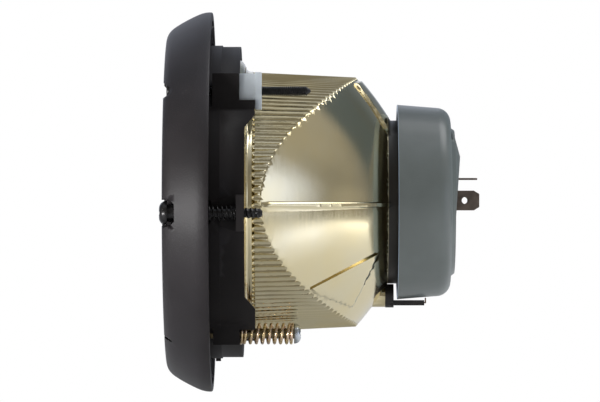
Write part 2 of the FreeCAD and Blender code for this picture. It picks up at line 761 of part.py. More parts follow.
def bowl(vertex):
    """The paraboloid as an object of the document."""
    item = doc.addObject("Part::Feature", "Bowl")
    item.Shape = bowl_shape(vertex)
    return item


def fluted_wall(start, end):
    """Oval wall with hollow flutes that run along the lamp axis."""
    item = doc.addObject("Part::Feature", "FlutedWall")
    item.Shape = Part.makeLoft([flute_ring(start), flute_ring(end)], True, True)
    return item


def raised_panels():
    """Panels that stand a step above the bowl: a side rib, a lower wedge and a top strip."""
    inside = S.flute_depth + 0.3
    limit = oval_solid(
        (S.flute_start, wall_half_at(S.flute_start) - inside),
        (S.bowl_vertex, wall_half_at(S.bowl_vertex) - inside),
    )
    reach = S.wall_half + S.oval_stretch
    rib_z = (-S.rib_drop - S.rib_high, -S.rib_drop)
    rib = block((S.flute_start, S.bowl_vertex - 4), (-reach, reach), rib_z)
    corners = [
        (S.bowl_vertex - S.wedge_front, S.wedge_front_in - S.wall_half),
        (S.bowl_vertex - S.wedge_low, S.wedge_low_in - S.wall_half),
        (S.bowl_vertex - S.wedge_rear, S.wedge_rear_in - S.wall_half),
    ]
    wedge = side_slab(corners, -reach, reach)
    strip_y = (-S.strip_wide / 2, S.strip_wide / 2)
    strip = block((S.bowl_vertex - S.strip_long, S.bowl_vertex - 8), strip_y, (S.strip_low, S.wall_half))
    return common(fuse(rib, wedge, strip), bowl(S.bowl_vertex + S.panel_lift), limit)


def make_reflector():
    """Fluted oval wall cut by the parabolic bowl, with flange, neck and bulb seat."""
    inset = S.flute_depth + S.reflector_wall
    flange = oval_solid((dim(0), S.flange_half), (S.flange_depth, S.flange_half))
    shoulder = oval_solid(
        (S.flange_depth, S.flange_half),
        ((S.flange_depth + S.shoulder_end * 2) / 3, S.flange_half - S.shoulder_bulge),
        (S.shoulder_end, S.wall_half + 0.4),
        smooth=True,
    )
    plain = oval_solid((S.flange_depth, S.wall_half + 0.2), (S.flute_start, S.wall_half + 0.2))
    groove_out = S.groove_half + S.groove_width
    groove = cut(
        oval_solid((dim(-1), groove_out), (S.groove_depth, groove_out)),
        oval_solid((dim(-2), S.groove_half), (S.groove_depth + 1, S.groove_half)),
    )
    room_half = S.groove_half + S.groove_width / 2
    lens_room = oval_solid((dim(-1), room_half), (S.lens_thick - S.lens_front + S.close_fit, room_half))
    opening = oval_solid(
        (dim(-1), S.groove_half - 1.4),
        (S.flute_start + 1, wall_half_at(S.flute_start) - inset + 0.1),
    )
    front = cut(fuse(flange, shoulder, plain), groove, lens_room, opening)
    neck = rod(S.bowl_vertex - 20, S.neck_end, S.neck_r)
    boss = rod(S.bowl_vertex - 25, S.side_boss_end, S.side_boss_r, 0, -S.side_drop)
    hollow = common(
        oval_solid(
            (dim(-1), wall_half_at(dim(-1)) - inset),
            (S.bowl_vertex, wall_half_at(S.bowl_vertex) - inset),
        ),
        bowl(S.bowl_vertex - S.reflector_wall * 1.2),
    )
    neck_hollow = cut(
        rod(S.neck_floor, S.neck_end + 1, S.neck_r - S.neck_wall),
        rod(S.neck_floor - 1, S.seat_x, S.seat_r),
    )
    bulb_hole = rod(S.bowl_vertex - 20, S.neck_end + 1, S.bulb_collar_r + S.close_fit)
    stub_hole_r = S.side_stub_r + S.close_fit / 2
    side_hole = rod(S.side_boss_end - 25, S.side_boss_end + 1, stub_hole_r, 0, -S.side_drop)
    seat_r = S.side_block_r + S.close_fit / 2
    side_seat = rod(S.side_boss_end, S.side_boss_end + S.side_block, seat_r, 0, -S.side_drop)
    solid = fuse(bowl(S.bowl_vertex), neck, boss, raised_panels())
    rear = cut(solid, hollow, neck_hollow, bulb_hole, side_hole, side_seat)
    wall = common(fluted_wall(S.flute_start, S.neck_end + 1), rear)
    node("reflector", fuse(front, wall))


def make_lens():
    """Domed oval glass with a rim in the reflector groove, and its sealing ring."""
    half = S.groove_half + S.groove_width - S.close_fit
    inner = S.groove_half + S.close_fit
    deep = S.lens_rise / (1 - root(1 - 1 / (S.lens_crown * S.lens_crown)))
    middle = deep - S.lens_front - S.lens_rise
    shells = []
    for less in (dim(0), S.lens_thick):
        dome = doc.addObject("Part::Ellipsoid", "Dome")
        high = half * S.lens_crown - less
        wide = (half + S.oval_stretch) * S.lens_crown - less
        bind(dome, {"Radius1": high, "Radius2": deep - less, "Radius3": wide})
        put(dome, middle, 0, 0)
        shells.append(dome)
    dome = common(
        cut(shells[0], shells[1]),
        oval_solid((-S.lens_front - S.lens_rise - 1, half), (S.lens_thick - S.lens_front, half)),
    )
    rim_end = S.groove_depth - S.seal_thick
    rim = cut(
        oval_solid((dim(0) - S.lens_front * 0.5, half), (rim_end, half)),
        oval_solid((dim(0) - S.lens_front, inner), (rim_end + 1, inner)),
    )
    node("lens", fuse(dome, rim))
    seal = cut(
        oval_solid((rim_end, half), (S.groove_depth, half)),
        oval_solid((rim_end - 1, inner), (S.groove_depth + 1, inner)),
    )
    node("lens_seal", seal)


def make_cap():
    """Rubber cap: skirt, grip ring on the neck, raised disc and slanted pull ridge."""
    grip = S.neck_r + S.close_fit
    hole = S.bulb_barrel_r + S.cap_hole_gap
    disc = S.cap_rear + S.cap_disc
    inside = S.cap_rear - S.cap_wall * 1.5
    skirt = turned(
        [
            (S.cap_front, S.cap_front_r),
            (S.cap_front, S.cap_front_r - S.cap_wall),
            (S.cap_front + 3, S.cap_front_r - S.cap_wall - 0.3),
            (S.cap_front + 3, grip),
            (S.neck_end + 0.5, grip),
            (S.neck_end + 0.5, S.cap_rear_r - S.cap_wall),
            (inside, S.cap_rear_r - S.cap_wall, S.cap_round / 2),
            (inside, hole),
            (disc, hole),
            (disc, S.cap_disc_r - 1.2),
            (S.cap_rear, S.cap_disc_r),
            (S.cap_rear, S.cap_rear_r, S.cap_round),
        ]
    )
    low = S.cap_rear + S.cap_disc / 2
    ridge = side_slab(
        [
            (low, dim(-10)),
            (disc + 0.1, dim(-10)),
            (disc + S.cap_ridge, S.cap_ridge_z),
            (low, S.cap_disc_r - 1.5),
        ],
        -S.cap_ridge_wide / 2,
        S.cap_ridge_wide / 2,
    )
    inner = rod(S.cap_rear - 1, disc + S.cap_ridge + 1, hole)
    node("dust_cap", fuse(skirt, cut(ridge, inner)))


def make_bulb():
    """Bulb with glass, shield, filaments, metal base, insulator, blades and wire clip."""
    glass_in = S.glass_r - S.glass_thick
    plug = S.seat_x - 7.5
    base_end = S.bulb_barrel_end
    flange_end = S.seat_x + S.bulb_flange
    base = turned(
        [
            (plug, dim(0)),
            (plug, glass_in - 0.15),
            (S.seat_x - 1.2, glass_in - 0.15),
            (S.seat_x - 1.2, S.glass_r + 0.15),
            (plug - 2, S.glass_r + 0.15),
            (plug - 2, S.glass_r + 3),
            (S.seat_x - 2.5, S.glass_r + 3),
            (S.seat_x - 2.5, S.bulb_collar_r),
            (S.seat_x, S.bulb_collar_r),
            (S.seat_x, S.bulb_flange_r),
            (flange_end, S.bulb_flange_r),
            (flange_end, S.bulb_barrel_r),
            (base_end, S.bulb_barrel_r),
            (base_end, S.bulb_barrel_r - 2),
            (flange_end + 0.5, S.bulb_barrel_r - 2),
            (flange_end + 0.5, dim(0)),
        ]
    )
    node("bulb_base", base)
    tip_round = S.glass_r * 0.7
    glass_end = S.seat_x - 1.35
    glass = turned(
        [
            (glass_end, glass_in),
            (glass_end, S.glass_r),
            (S.glass_tip, S.glass_r, tip_round),
            (S.glass_tip, dim(0)),
            (S.glass_tip + S.glass_thick, dim(0)),
            (S.glass_tip + S.glass_thick, glass_in, tip_round - S.glass_thick),
        ]
    )
    node("bulb_glass", glass)
    make_filaments(plug - 0.1)
    spigot = S.bulb_barrel_r - 2 - S.close_fit
    insulator = turned(
        [
            (flange_end + 2, dim(0)),
            (flange_end + 2, spigot),
            (base_end + 0.1, spigot),
            (base_end + 0.1, S.bulb_barrel_r),
            (S.insulator_end, S.bulb_barrel_r),
            (S.insulator_end, dim(0)),
        ]
    )
    make_blades(insulator)
    clip_x = flange_end + S.clip_r + 0.05
    bend_y = S.clip_reach / 2
    bend = doc.addObject("Part::Torus", "Bend")
    bend.Placement = Placement(Vector(), ACROSS_X)
    bend.Angle3 = 180
    bind(bend, {"Radius1": S.clip_half, "Radius2": S.clip_r})
    put(bend, clip_x, 0, 0)
    bend.Placement.Rotation = ACROSS_X.multiply(Rotation(Vector(0, 0, 1), -90))
    bind(bend, {"Placement.Base.y": bend_y})
    legs = []
    for up in (-1, 1):
        leg = doc.addObject("Part::Cylinder", "Leg")
        leg.Placement = Placement(Vector(), Rotation(Vector(1, 0, 0), -90))
        bind(leg, {"Radius": S.clip_r, "Height": bend_y + S.clip_reach})
        put(leg, clip_x, -S.clip_reach, up * S.clip_half)
        legs.append(leg)
    node("bulb_clip", fuse(bend, *legs))


def make_filaments(stem):
    """Two filaments on posts, and the dipping shield under the front one."""
    focus = S.bowl_vertex - S.reflector_wall * 1.2 - S.bowl_focus
    shield_x = (focus - 9, focus + 1)
    cup = cut(rod(*shield_x, dim(4.6)), rod(shield_x[0] + 0.6, shield_x[1] + 1, dim(4.0)))
    upper = block((shield_x[0] - 1, shield_x[1] + 1), (-6, 6), (0.5, 6))
    shield_post = rod(shield_x[0] + 1, stem, dim(0.45), 0, dim(-4.3))
    node("bulb_shield", fuse(cut(cup, upper), shield_post))
    front = rod(focus - 7, focus - 1.5, dim(0.7), 0, dim(0.9))
    front_post = rod(focus - 2, stem, dim(0.4), dim(2.6), dim(1.6))
    front_link = block((focus - 2, focus - 1.5), (0, 2.8), (0.9, 1.7))
    rear = rod(focus + 3, focus + 8.5, dim(0.7))
    rear_post = rod(focus + 8, stem, dim(0.4), dim(-2.6), dim(0))
    rear_link = block((focus + 8, focus + 8.5), (-2.8, 0), (-0.4, 0.4))
    node("bulb_filaments", fuse(fuse(front, front_post, front_link), fuse(rear, rear_post, rear_link)))


def make_blades(insulator):
    """Three flat blades with cut corners, each in its slot of the insulator."""
    start = S.insulator_end - 5
    half = S.blade_wide / 2
    slots = []
    gap = S.close_fit / 2
    for side_name, side in SIDES.items():
        low = S.blade_lift - half
        high = S.blade_lift + half
        corners = blade_outline(start, S.blade_end, low, high)
        y = (side * S.blade_side - S.blade_thick / 2, side * S.blade_side + S.blade_thick / 2)
        hole = (S.blade_end - S.blade_hole_back, S.blade_lift, S.blade_hole_r)
        node(f"bulb_terminal_{side_name}", slab("XZ_Plane", corners, -y[1], S.blade_thick, hole))
        slot_y = (y[0] - gap, y[1] + gap)
        slots.append(block((start - gap, S.insulator_end + 1), slot_y, (low - gap, high + gap)))
    end = S.blade_end - S.blade_short
    corners = blade_outline(start, end, -half, half)
    level = (S.blade_top - S.blade_thick / 2, S.blade_top + S.blade_thick / 2)
    hole = (end - S.blade_hole_back, dim(0), S.blade_hole_r)
    node("bulb_terminal_top", slab("XY_Plane", corners, level[0], S.blade_thick, hole))
    slots.append(
        block((start - gap, S.insulator_end + 1), (-half - gap, half + gap), (level[0] - gap, level[1] + gap))
    )
    node("bulb_insulator", cut(insulator, *slots))


def blade_outline(start, end, low, high):
    """Outline of a blade with its rear corners cut."""
    return [
        (start, low),
        (end - S.blade_chamfer, low),
        (end, low + S.blade_chamfer * 0.6),
        (end, high - S.blade_chamfer * 0.6),
        (end - S.blade_chamfer, high),
        (start, high),
    ]


def make_sidelight():
    """Holder in the bowl's boss with its bar under the cap, bulb and bent tab."""
    low = -S.side_drop
    socket = S.side_bulb_r + 0.15
    stub_front = S.side_boss_end - 9
    block_front = S.side_boss_end + 0.1
    block_end = block_front + S.side_block
    stub = rod(stub_front, block_front + 1, S.side_stub_r, 0, low)
    flange = rod(block_front, block_end, S.side_block_r, 0, low)
    top = -S.side_bar_top
    bottom = top - S.side_bar_thick
    half = S.side_bar_wide / 2
    bar = block((block_end - 1, S.side_bar_end), (-half, half), (bottom, top))
    slot = block((S.side_bar_end - 5, S.side_bar_end + 1), (-1.6, 1.6), (bottom + 0.7, bottom + 1.4))
    bulb_hole = rod(stub_front - 1, block_front - 2, socket, 0, low)
    node("sidelight_holder", cut(fuse(stub, flange, bar), bulb_hole, slot))
    tip = S.side_bulb_tip
    bulb_end = block_front - 2.1
    profile = [
        (tip, dim(0)),
        (bulb_end, dim(0)),
        (bulb_end, S.side_bulb_r),
        (tip, S.side_bulb_r, S.side_bulb_r * 0.8),
    ]
    bulb = turned(profile, 0, low)
    node("sidelight_bulb", bulb)
    tab_end = S.side_bar_end + 0.8
    tab = [
        (S.side_bar_end - 4.9, bottom + 0.8),
        (tab_end, bottom + 0.8),
        (tab_end, top + 1.0),
        (tab_end - 0.5, top + 1.0),
        (tab_end - 0.5, bottom + 1.3),
        (S.side_bar_end - 4.9, bottom + 1.3),
    ]
    node("sidelight_terminal", side_slab(tab, -1.5, 1.5))


def cross_recess(x, depth, radius, y, z):
    """Crossed slots for a driver, from the end of a screw head."""
    reach = radius * 0.62
    thin = radius * 0.12
    wide = block((x, x + depth), (y - reach, y + reach), (z - thin, z + thin))
    high = block((x, x + depth), (y - thin, y + thin), (z - reach, z + reach))
    return fuse(wide, high)


def make_screws():
    """Aim, pivot and tension screws with their nuts and springs."""
    for name, side in SIDES.items():
        y = side * S.aim_y
        top = -S.aim_seat - S.aim_head
        aim = turned(
            [
                (top, dim(0)),
                (top, S.aim_head_r, S.aim_head * 0.6),
                (-S.aim_seat, S.aim_head_r),
                (-S.aim_seat, S.aim_r),
                (S.aim_tip - 1.5, S.aim_r),
                (S.aim_tip, S.aim_r * 0.3),
                (S.aim_tip, dim(0)),
            ],
            y,
            S.aim_z,
        )
        recess = cross_recess(top - 0.2, S.aim_head * 0.6, S.aim_head_r, y, S.aim_z)
        node(f"aim_screw_{name}", cut(aim, recess))
        make_nut(name, side)
        y = side * S.pivot_y
        level = -S.pivot_drop
        under = -S.pivot_seat - S.pivot_collar
        top = under - S.pivot_head
        pivot = turned(
            [
                (top, dim(0)),
                (top, S.pivot_head_r, S.pivot_head * 0.92),
                (under, S.pivot_head_r),
                (under, S.pivot_head_r * 0.72),
                (-S.pivot_seat, S.pivot_head_r * 0.72),
                (-S.pivot_seat, S.pivot_r),
                (S.pivot_tip - 1, S.pivot_r),
                (S.pivot_tip, S.pivot_r * 0.5),
                (S.pivot_tip, dim(0)),
            ],
            y,
            level,
        )
        recess = cross_recess(top - 0.2, S.pivot_head * 0.6, S.pivot_head_r, y, level)
        node(f"pivot_screw_{name}", cut(pivot, recess))
        ear = S.carrier_side_end - S.ear_thick
        spring = coil(-S.pivot_boss_gap, ear, S.pivot_coil_r, S.pivot_wire_r, S.pivot_turns, y, level)
        node(f"pivot_spring_{name}", spring)
        y = side * S.tension_y
        level = -S.tension_drop
        end = S.tension_seat + S.tension_head
        tension = turned(
            [
                (-S.tension_tip, dim(0)),
                (-S.tension_tip, S.tension_r * 0.7),
                (1 - S.tension_tip, S.tension_r),
                (S.tension_seat, S.tension_r),
                (S.tension_seat, S.tension_head_r),
                (end, S.tension_head_r, S.tension_head * 0.9),
                (end, dim(0)),
            ],
            y,
            level,
        )
        recess = cross_recess(end - S.tension_head * 0.6, S.tension_head, S.tension_head_r, y, level)
        node(f"tension_screw_{name}", cut(tension, recess))
        spring = coil(
            S.carrier_top_end,
            S.tension_seat,
            S.tension_coil_r,
            S.tension_wire_r,
            S.tension_turns,
            y,
            level,
            "Left-handed",
        )
        node(f"tension_spring_{name}", spring)


def make_nut(name, side):
    """Nylon nut behind the upper lug: body, rear flange and round snout."""
    y = side * S.aim_y
    front = S.carrier_top_end
    seat = S.carrier_boss_end
    half = S.nut_wide / 2
    tall = S.nut_high / 2
    body = block((front, seat + 1), (y - half, y + half), (S.aim_z - tall, S.aim_z + tall))
    brim = S.nut_brim
    flange = block(
        (seat + 0.05, seat + S.nut_flange),
        (y - half - brim, y + half + brim),
        (S.aim_z - tall - brim, S.aim_z + tall + brim),
    )
    snout = rod(S.lug_front + S.nut_snout_in, front + 1, S.aim_r + S.lug_gap + 0.8, y, S.aim_z)
    bore = rod(dim(0), seat + S.nut_flange + 1, S.aim_r + S.nut_bore_gap, y, S.aim_z)
    past = S.flange_half + S.close_fit
    flange_room = oval_solid((dim(0), past), (S.shoulder_end, past))
    node(f"aim_nut_{name}", cut(fuse(body, flange, snout), bore, flange_room))


def write_parts():
    """Check every object, then write each part as a file of its own."""
    doc.recompute()
    for item in doc.Objects:
        if "Invalid" in item.State or "Error" in item.State:
            raise RuntimeError(f"{item.Label} could not be built: {item.State}")
    os.makedirs("parts", exist_ok=True)
    for name, item in NODES.items():
        shape = item.Shape
        if shape.isNull() or not shape.isValid():
            raise RuntimeError(f"{name} has no valid shape")
        shape.exportStep(f"parts/{name}.step")
        print(f"{name}: {len(shape.Solids)} solid, {shape.Volume:.0f} mm3")


make_bezel()
make_carrier()
make_reflector()
make_lens()
make_cap()
make_bulb()
make_sidelight()
make_screws()
write_parts()
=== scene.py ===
"""Looks of the oval motorbike headlight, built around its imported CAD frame.

X runs to the rear of the lamp, Y to the rider's right, Z up, in metres.
The rim plane, at an X of 0, is the rear of the bezel.
"""

import json
import math

import bmesh
import bpy
from bpy.props import FloatProperty, FloatVectorProperty, IntProperty, PointerProperty
from bpy.types import Operator, Panel, PropertyGroup
from mathutils import Matrix, Vector


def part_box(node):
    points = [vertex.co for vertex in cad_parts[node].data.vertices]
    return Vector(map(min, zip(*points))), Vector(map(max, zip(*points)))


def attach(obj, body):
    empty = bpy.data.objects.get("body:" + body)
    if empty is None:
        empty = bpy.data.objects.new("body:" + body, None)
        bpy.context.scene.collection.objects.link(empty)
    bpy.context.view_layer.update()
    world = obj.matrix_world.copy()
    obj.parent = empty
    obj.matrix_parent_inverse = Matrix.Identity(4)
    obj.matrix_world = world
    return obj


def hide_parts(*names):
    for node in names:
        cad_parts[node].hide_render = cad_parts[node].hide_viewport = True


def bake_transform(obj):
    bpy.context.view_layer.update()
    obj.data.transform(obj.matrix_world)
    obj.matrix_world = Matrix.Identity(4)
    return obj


bl_info = {
    "name": "Oval headlight",
    "version": (1, 0, 0),
    "blender": (4, 5, 0),
    "location": "3D View > Sidebar > Headlight",
    "description": "Dresses the oval motorbike headlight and its stage",
    "category": "Object",
}

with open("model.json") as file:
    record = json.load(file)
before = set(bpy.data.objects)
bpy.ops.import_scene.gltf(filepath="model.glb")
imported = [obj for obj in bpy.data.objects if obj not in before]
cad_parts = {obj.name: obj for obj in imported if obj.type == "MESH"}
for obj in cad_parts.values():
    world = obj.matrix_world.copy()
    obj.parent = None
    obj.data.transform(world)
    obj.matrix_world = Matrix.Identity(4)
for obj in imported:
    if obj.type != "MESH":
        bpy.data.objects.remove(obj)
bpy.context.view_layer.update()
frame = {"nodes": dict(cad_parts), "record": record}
SIDES = ("left", "right")
AXIS = Vector((1, 0, 0))

# A millimetre in metres, and the millimetres in a metre
MM = 0.001
PER_MM = 1000.0

# Tolerances
CAD_WELD = 1e-6
WIRE_WELD = 1e-7
LEVEL = 0.01 * MM
FLAT_ANGLE = math.radians(0.4)
EASED_ANGLE = math.radians(40)

# Steps in each turn of a coil and of a thread
COIL_STEPS = 28
THREAD_STEPS = 16

# Pitch of a spring's closed turns, in wires
CLOSED_PITCH = 1.02

# Half the foot of a thread's ridge, in pitches, and its depth below the core
THREAD_FOOT = 0.42
THREAD_SINK = 0.05 * MM

# Place along the lamp that the lights face and the floor lies under
STAGE_X = 0.03

BLACK = (0.0, 0.0, 0.0)
WHITE = (1.0, 1.0, 1.0)


def length(name, description, millimetres):
    """A length setting, written in millimetres and kept in metres."""
    return FloatProperty(
        name=name,
        description=description,
        default=millimetres * MM,
        min=0.0,
        precision=5,
        subtype="DISTANCE",
        unit="LENGTH",
    )


def coil_turns(name, description, turns):
    """A setting for the turns of a spring."""
    return FloatProperty(name=name, description=description, default=turns, min=1.0)


def colour(name, description, red, green, blue):
    """A colour setting."""
    return FloatVectorProperty(
        name=name,
        description=description,
        default=(red, green, blue),
        min=0.0,
        max=1.0,
        size=3,
        subtype="COLOR",
    )


class HeadlightSizes(PropertyGroup):
    """Sizes of the details that the frame leaves to the looks."""

    moulded_edge: length("Moulded edge", "Rounding of the edges of plastic mouldings", 0.25)
    metal_edge: length("Metal edge", "Rounding of the edges of pressed metal", 0.1)
    rim_edge: length("Rim edge", "Rounding of the bezel's rear rim", 0.4)
    cove_radius: length("Cove radius", "Radius of the cove behind the reflector's flange", 1.9)
    cove_end: length("Cove end", "End of the cove behind the rim plane", 15.3)
    flute_start: length("Flute start", "Start of the flutes behind the rim plane", 16.2)
    aim_pitch: length("Aim thread pitch", "Thread pitch of the aim screws", 0.8)
    pivot_pitch: length("Pivot thread pitch", "Thread pitch of the pivot screws", 1.8)
    aim_core: length("Aim core", "Radius of the aim screws under their thread", 1.58)
    aim_thread: length("Aim thread height", "Height of the fine thread above the core", 0.32)
    pivot_thread: length("Pivot thread height", "Height of the coarse thread above its screw", 0.34)
    pivot_wire: length("Pivot spring wire", "Wire thickness of the pivot springs", 0.72)
    tension_wire: length("Tension spring wire", "Wire thickness of the tension springs", 1.15)
    pivot_turns: coil_turns("Pivot turns", "Open turns of a pivot spring", 5.0)
    tension_turns: coil_turns("Tension turns", "Open turns of a tension spring", 7.5)
    wire_sides: IntProperty(
        name="Wire sides",
        description="Sides of a wire's cross-section",
        default=12,
        min=6,
    )
    # From this place on the neck the reflector is drawn dark and non-metal.
    dark_neck_from: length("Film end", "Where the metal film ends on the neck", 69.9)
    floor_drop: length("Floor drop", "Floor below the lamp's axis", 130)
    floor_radius: length("Floor radius", "Radius of the floor", 1200)
    camera_distance: length("Camera distance", "Camera to the lamp's middle plane", 2000)


class HeadlightColours(PropertyGroup):
    """Colours of the finishes."""

    bezel: colour("Bezel", "Grained black plastic", 0.021, 0.0174, 0.0190)
    carrier: colour("Carrier", "Smooth black plastic", 0.018, 0.0155, 0.0157)
    gold: colour("Gold", "Metal film on the reflector", 0.80, 0.69, 0.42)
    gold_pale: colour("Pale gold", "Paler patches of the metal film", 0.78, 0.70, 0.48)
    # The neck's colour: dark and non-metal, behind the place set in the sizes.
    neck: colour("Neck", "Bare moulding of the reflector's neck", 0.022, 0.018, 0.012)
    cap: colour("Cap", "Grey rubber", 0.150, 0.170, 0.166)
    # Painted light: the cap's front is paler and bluer, standing for light bounced from the
    # reflector.
    cap_front_painted_light: colour("Cap front", "Paler, bluer skin on the front of the cap", 0.44, 0.58, 0.78)
    rubber: colour("Rubber", "Black rubber", 0.015, 0.015, 0.015)
    nylon: colour("Nylon", "Blue-white nylon", 0.62, 0.67, 0.71)
    oxide: colour("Oxide", "Black oxide on screws and springs", 0.020, 0.019, 0.019)
    zinc: colour("Zinc", "Bright zinc plate", 0.66, 0.70, 0.74)
    zinc_yellow: colour("Yellow zinc", "Yellow passivated zinc plate", 0.84, 0.66, 0.34)
    zinc_pink: colour("Pink zinc", "Pink tint of the passivated plate", 0.80, 0.60, 0.48)
    # Painted shade: the tension screws' shank is darker where it sits in the shade among the
    # spring's coils.
    zinc_painted_shade: colour("Dark zinc", "Stained plate on the tension screws' shank", 0.20, 0.16, 0.09)
    blade: colour("Blade", "Tarnished blades of the bulb", 0.18, 0.145, 0.122)
    steel: colour("Steel", "Plated steel", 0.50, 0.49, 0.47)
    brass: colour("Brass", "Dull brass tab", 0.22, 0.11, 0.06)
    glass: colour("Glass", "Clear glass", 0.97, 0.985, 0.99)


def sizes():
    """The sizes of the open scene."""
    return bpy.context.scene.headlight_sizes


def colours():
    """The colours of the open scene."""
    return bpy.context.scene.headlight_colours


def tint(shade):
    """A plain colour for a shader socket."""
    return (*shade, 1.0)


def toned(shade, factor):
    """A colour made darker or lighter by a factor."""
    return tuple(min(1.0, channel * factor) for channel in shade)


class Term:
    """A shader value that takes part in Python sums."""

    def __init__(self, graph, socket):
        self.graph = graph
        self.socket = socket

    def _sum(self, operation, first, second):
        item = self.graph.add("ShaderNodeMath", {"operation": operation}, {0: first, 1: second})
        return Term(self.graph, item.outputs[0])

    def __add__(self, other):
        return self._sum("ADD", self, other)

    def __radd__(self, other):
        return self._sum("ADD", other, self)

    def __sub__(self, other):
        return self._sum("SUBTRACT", self, other)

    def __rsub__(self, other):
        return self._sum("SUBTRACT", other, self)

    def __mul__(self, other):
        return self._sum("MULTIPLY", self, other)

    def __rmul__(self, other):
        return self._sum("MULTIPLY", other, self)

    def highest(self, other):
        """The larger of two values."""
        return self._sum("MAXIMUM", self, other)


class Graph:
    """A node tree written as expressions."""

    def __init__(self, tree):
        self.tree = tree
        tree.nodes.clear()

    def add(self, kind, settings=None, sockets=None):
        """A node of a kind, with its settings, then the values or links of its sockets."""
        item = self.tree.nodes.new(kind)
        for name, value in (settings or {}).items():
            if name == "stops":
                self.set_stops(item.color_ramp, value)
            else:
                setattr(item, name, value)
        for name, value in (sockets or {}).items():
            if isinstance(value, Term):
                self.tree.links.new(value.socket, item.inputs[name])
            else:
                item.inputs[name].default_value = value
        return item

    def set_stops(self, ramp, stops):
        """Put a ramp's stops in place."""
        while len(ramp.elements) < len(stops):
            ramp.elements.new(1.0)
        for element, (position, shade) in zip(ramp.elements, stops):
            element.position = position
            element.color = tint(shade if isinstance(shade, tuple) else (shade,) * 3)

    def term(self, item, output=0):
        """An output of a node as a value."""
        return Term(self, item.outputs[output])

    def place(self):
        """Object coordinates."""
        return self.term(self.add("ShaderNodeTexCoord"), "Object")

    def axes(self, where):
        """The X, Y and Z of a place or a direction."""
        item = self.add("ShaderNodeSeparateXYZ", None, {0: where})
        return [self.term(item, axis) for axis in "XYZ"]

    def along(self):
        """The place along the lamp, in metres."""
        return self.axes(self.place())[0]

    def noise(self, scale, detail, stretch=None, where=None):
        """Soft noise over the surface or another place, at a number of cells in each unit."""
        where = where or self.place()
        if stretch:
            mapping = self.add("ShaderNodeMapping", None, {"Vector": where, "Scale": stretch})
            where = self.term(mapping)
        sockets = {"Vector": where, "Scale": scale, "Detail": detail}
        return self.term(self.add("ShaderNodeTexNoise", None, sockets))

    def ramp(self, value, *stops):
        """A value spread over shades, by stops of a position and a grey or a colour."""
        return self.term(self.add("ShaderNodeValToRGB", {"stops": stops}, {"Fac": value}))

    def blend(self, factor, first, second):
        """Two colours mixed by a value."""
        pair = [shade if isinstance(shade, Term) else tint(shade) for shade in (first, second)]
        sockets = {0: factor, 6: pair[0], 7: pair[1]}
        return self.term(self.add("ShaderNodeMix", {"data_type": "RGBA"}, sockets), 2)

    def bump(self, height, distance, strength):
        """A bumped normal from a height."""
        sockets = {"Height": height, "Distance": distance, "Strength": strength}
        return self.term(self.add("ShaderNodeBump", None, sockets))

    def shader(self, sockets):
        """The main shader, from the values of its sockets."""
        return self.term(self.add("ShaderNodeBsdfPrincipled", None, sockets))

    def surface(self, sockets):
        """A finished surface from the values of the main shader."""
        self.add("ShaderNodeOutputMaterial", None, {"Surface": self.shader(sockets)})


def new_finish(name):
    """An empty material and its graph."""
    material = bpy.data.materials.new(name)
    material.use_nodes = True
    return material, Graph(material.node_tree)


def grained_plastic(name, shade, roughness, grain, depth, sheen=0.5):
    """Moulded plastic with a fine grain, cloudy sheen and faint dust."""
    material, g = new_finish(name)
    cloud = g.noise(55.0, detail=4.0)
    fine = g.noise(grain, detail=2.0)
    dust = g.ramp(cloud, (0.35, 0.0), (0.7, 1.0))
    g.surface(
        {
            "Base Color": g.blend(dust, toned(shade, 0.86), toned(shade, 1.18)),
            "Roughness": roughness - 0.05 + 0.1 * cloud,
            "Specular IOR Level": sheen,
            "Normal": g.bump(fine, depth, strength=0.35),
        }
    )
    return material


def metal_film(name, shade, pale, dark_neck, dark_neck_start):
    """Gold-tinted metal film on a moulding, with faint clouding, turning dark and non-metal on the
    neck.
    """
    material, g = new_finish(name)
    # Behind the start of the neck the colour turns dark and non-metal.
    film = g.ramp((dark_neck_start - g.along()) * PER_MM, (0.0, 0.0), (0.5, 1.0))
    cloud = g.noise(38.0, detail=5.0)
    streak = g.noise(120.0, detail=3.0, stretch=(0.25, 1.0, 1.0))
    patch = g.ramp(cloud, (0.38, 0.0), (0.66, 1.0))
    wave = g.noise(160.0, detail=2.0)
    g.surface(
        {
            "Base Color": g.blend(film, dark_neck, g.blend(patch, shade, pale)),
            "Metallic": film,
            "Roughness": 0.36 - 0.28 * film + 0.07 * cloud + 0.05 * streak,
            "Normal": g.bump(wave, 0.05 * MM, strength=0.4),
        }
    )
    return material


def rubber(name, shade, front=None, painted_front_end=0.0):
    """Rubber with a fine moulded skin and rubbed patches, in another colour ahead of a place:
    painted light, a paler skin that stands for light bounced onto the cap's front.
    """
    material, g = new_finish(name)
    cloud = g.noise(40.0, detail=5.0)
    fine = g.noise(2600.0, detail=2.0)
    bloom = g.ramp(cloud, (0.42, 0.0), (0.75, 1.0))
    skin = g.blend(bloom, toned(shade, 0.92), toned(shade, 1.16))
    # Painted light: the front of the cap takes a paler colour, standing for light bounced from the
    # reflector.
    if front:
        past_painted_front = g.ramp((g.along() - painted_front_end) * (5 * PER_MM), (0.0, 0.0), (0.8, 1.0))
        skin = g.blend(past_painted_front, front, skin)
    g.surface(
        {
            "Base Color": skin,
            "Roughness": 0.26 + 0.12 * cloud,
            "Specular IOR Level": 0.55,
            "Normal": g.bump(fine, 0.06 * MM, strength=0.3),
        }
    )
    return material


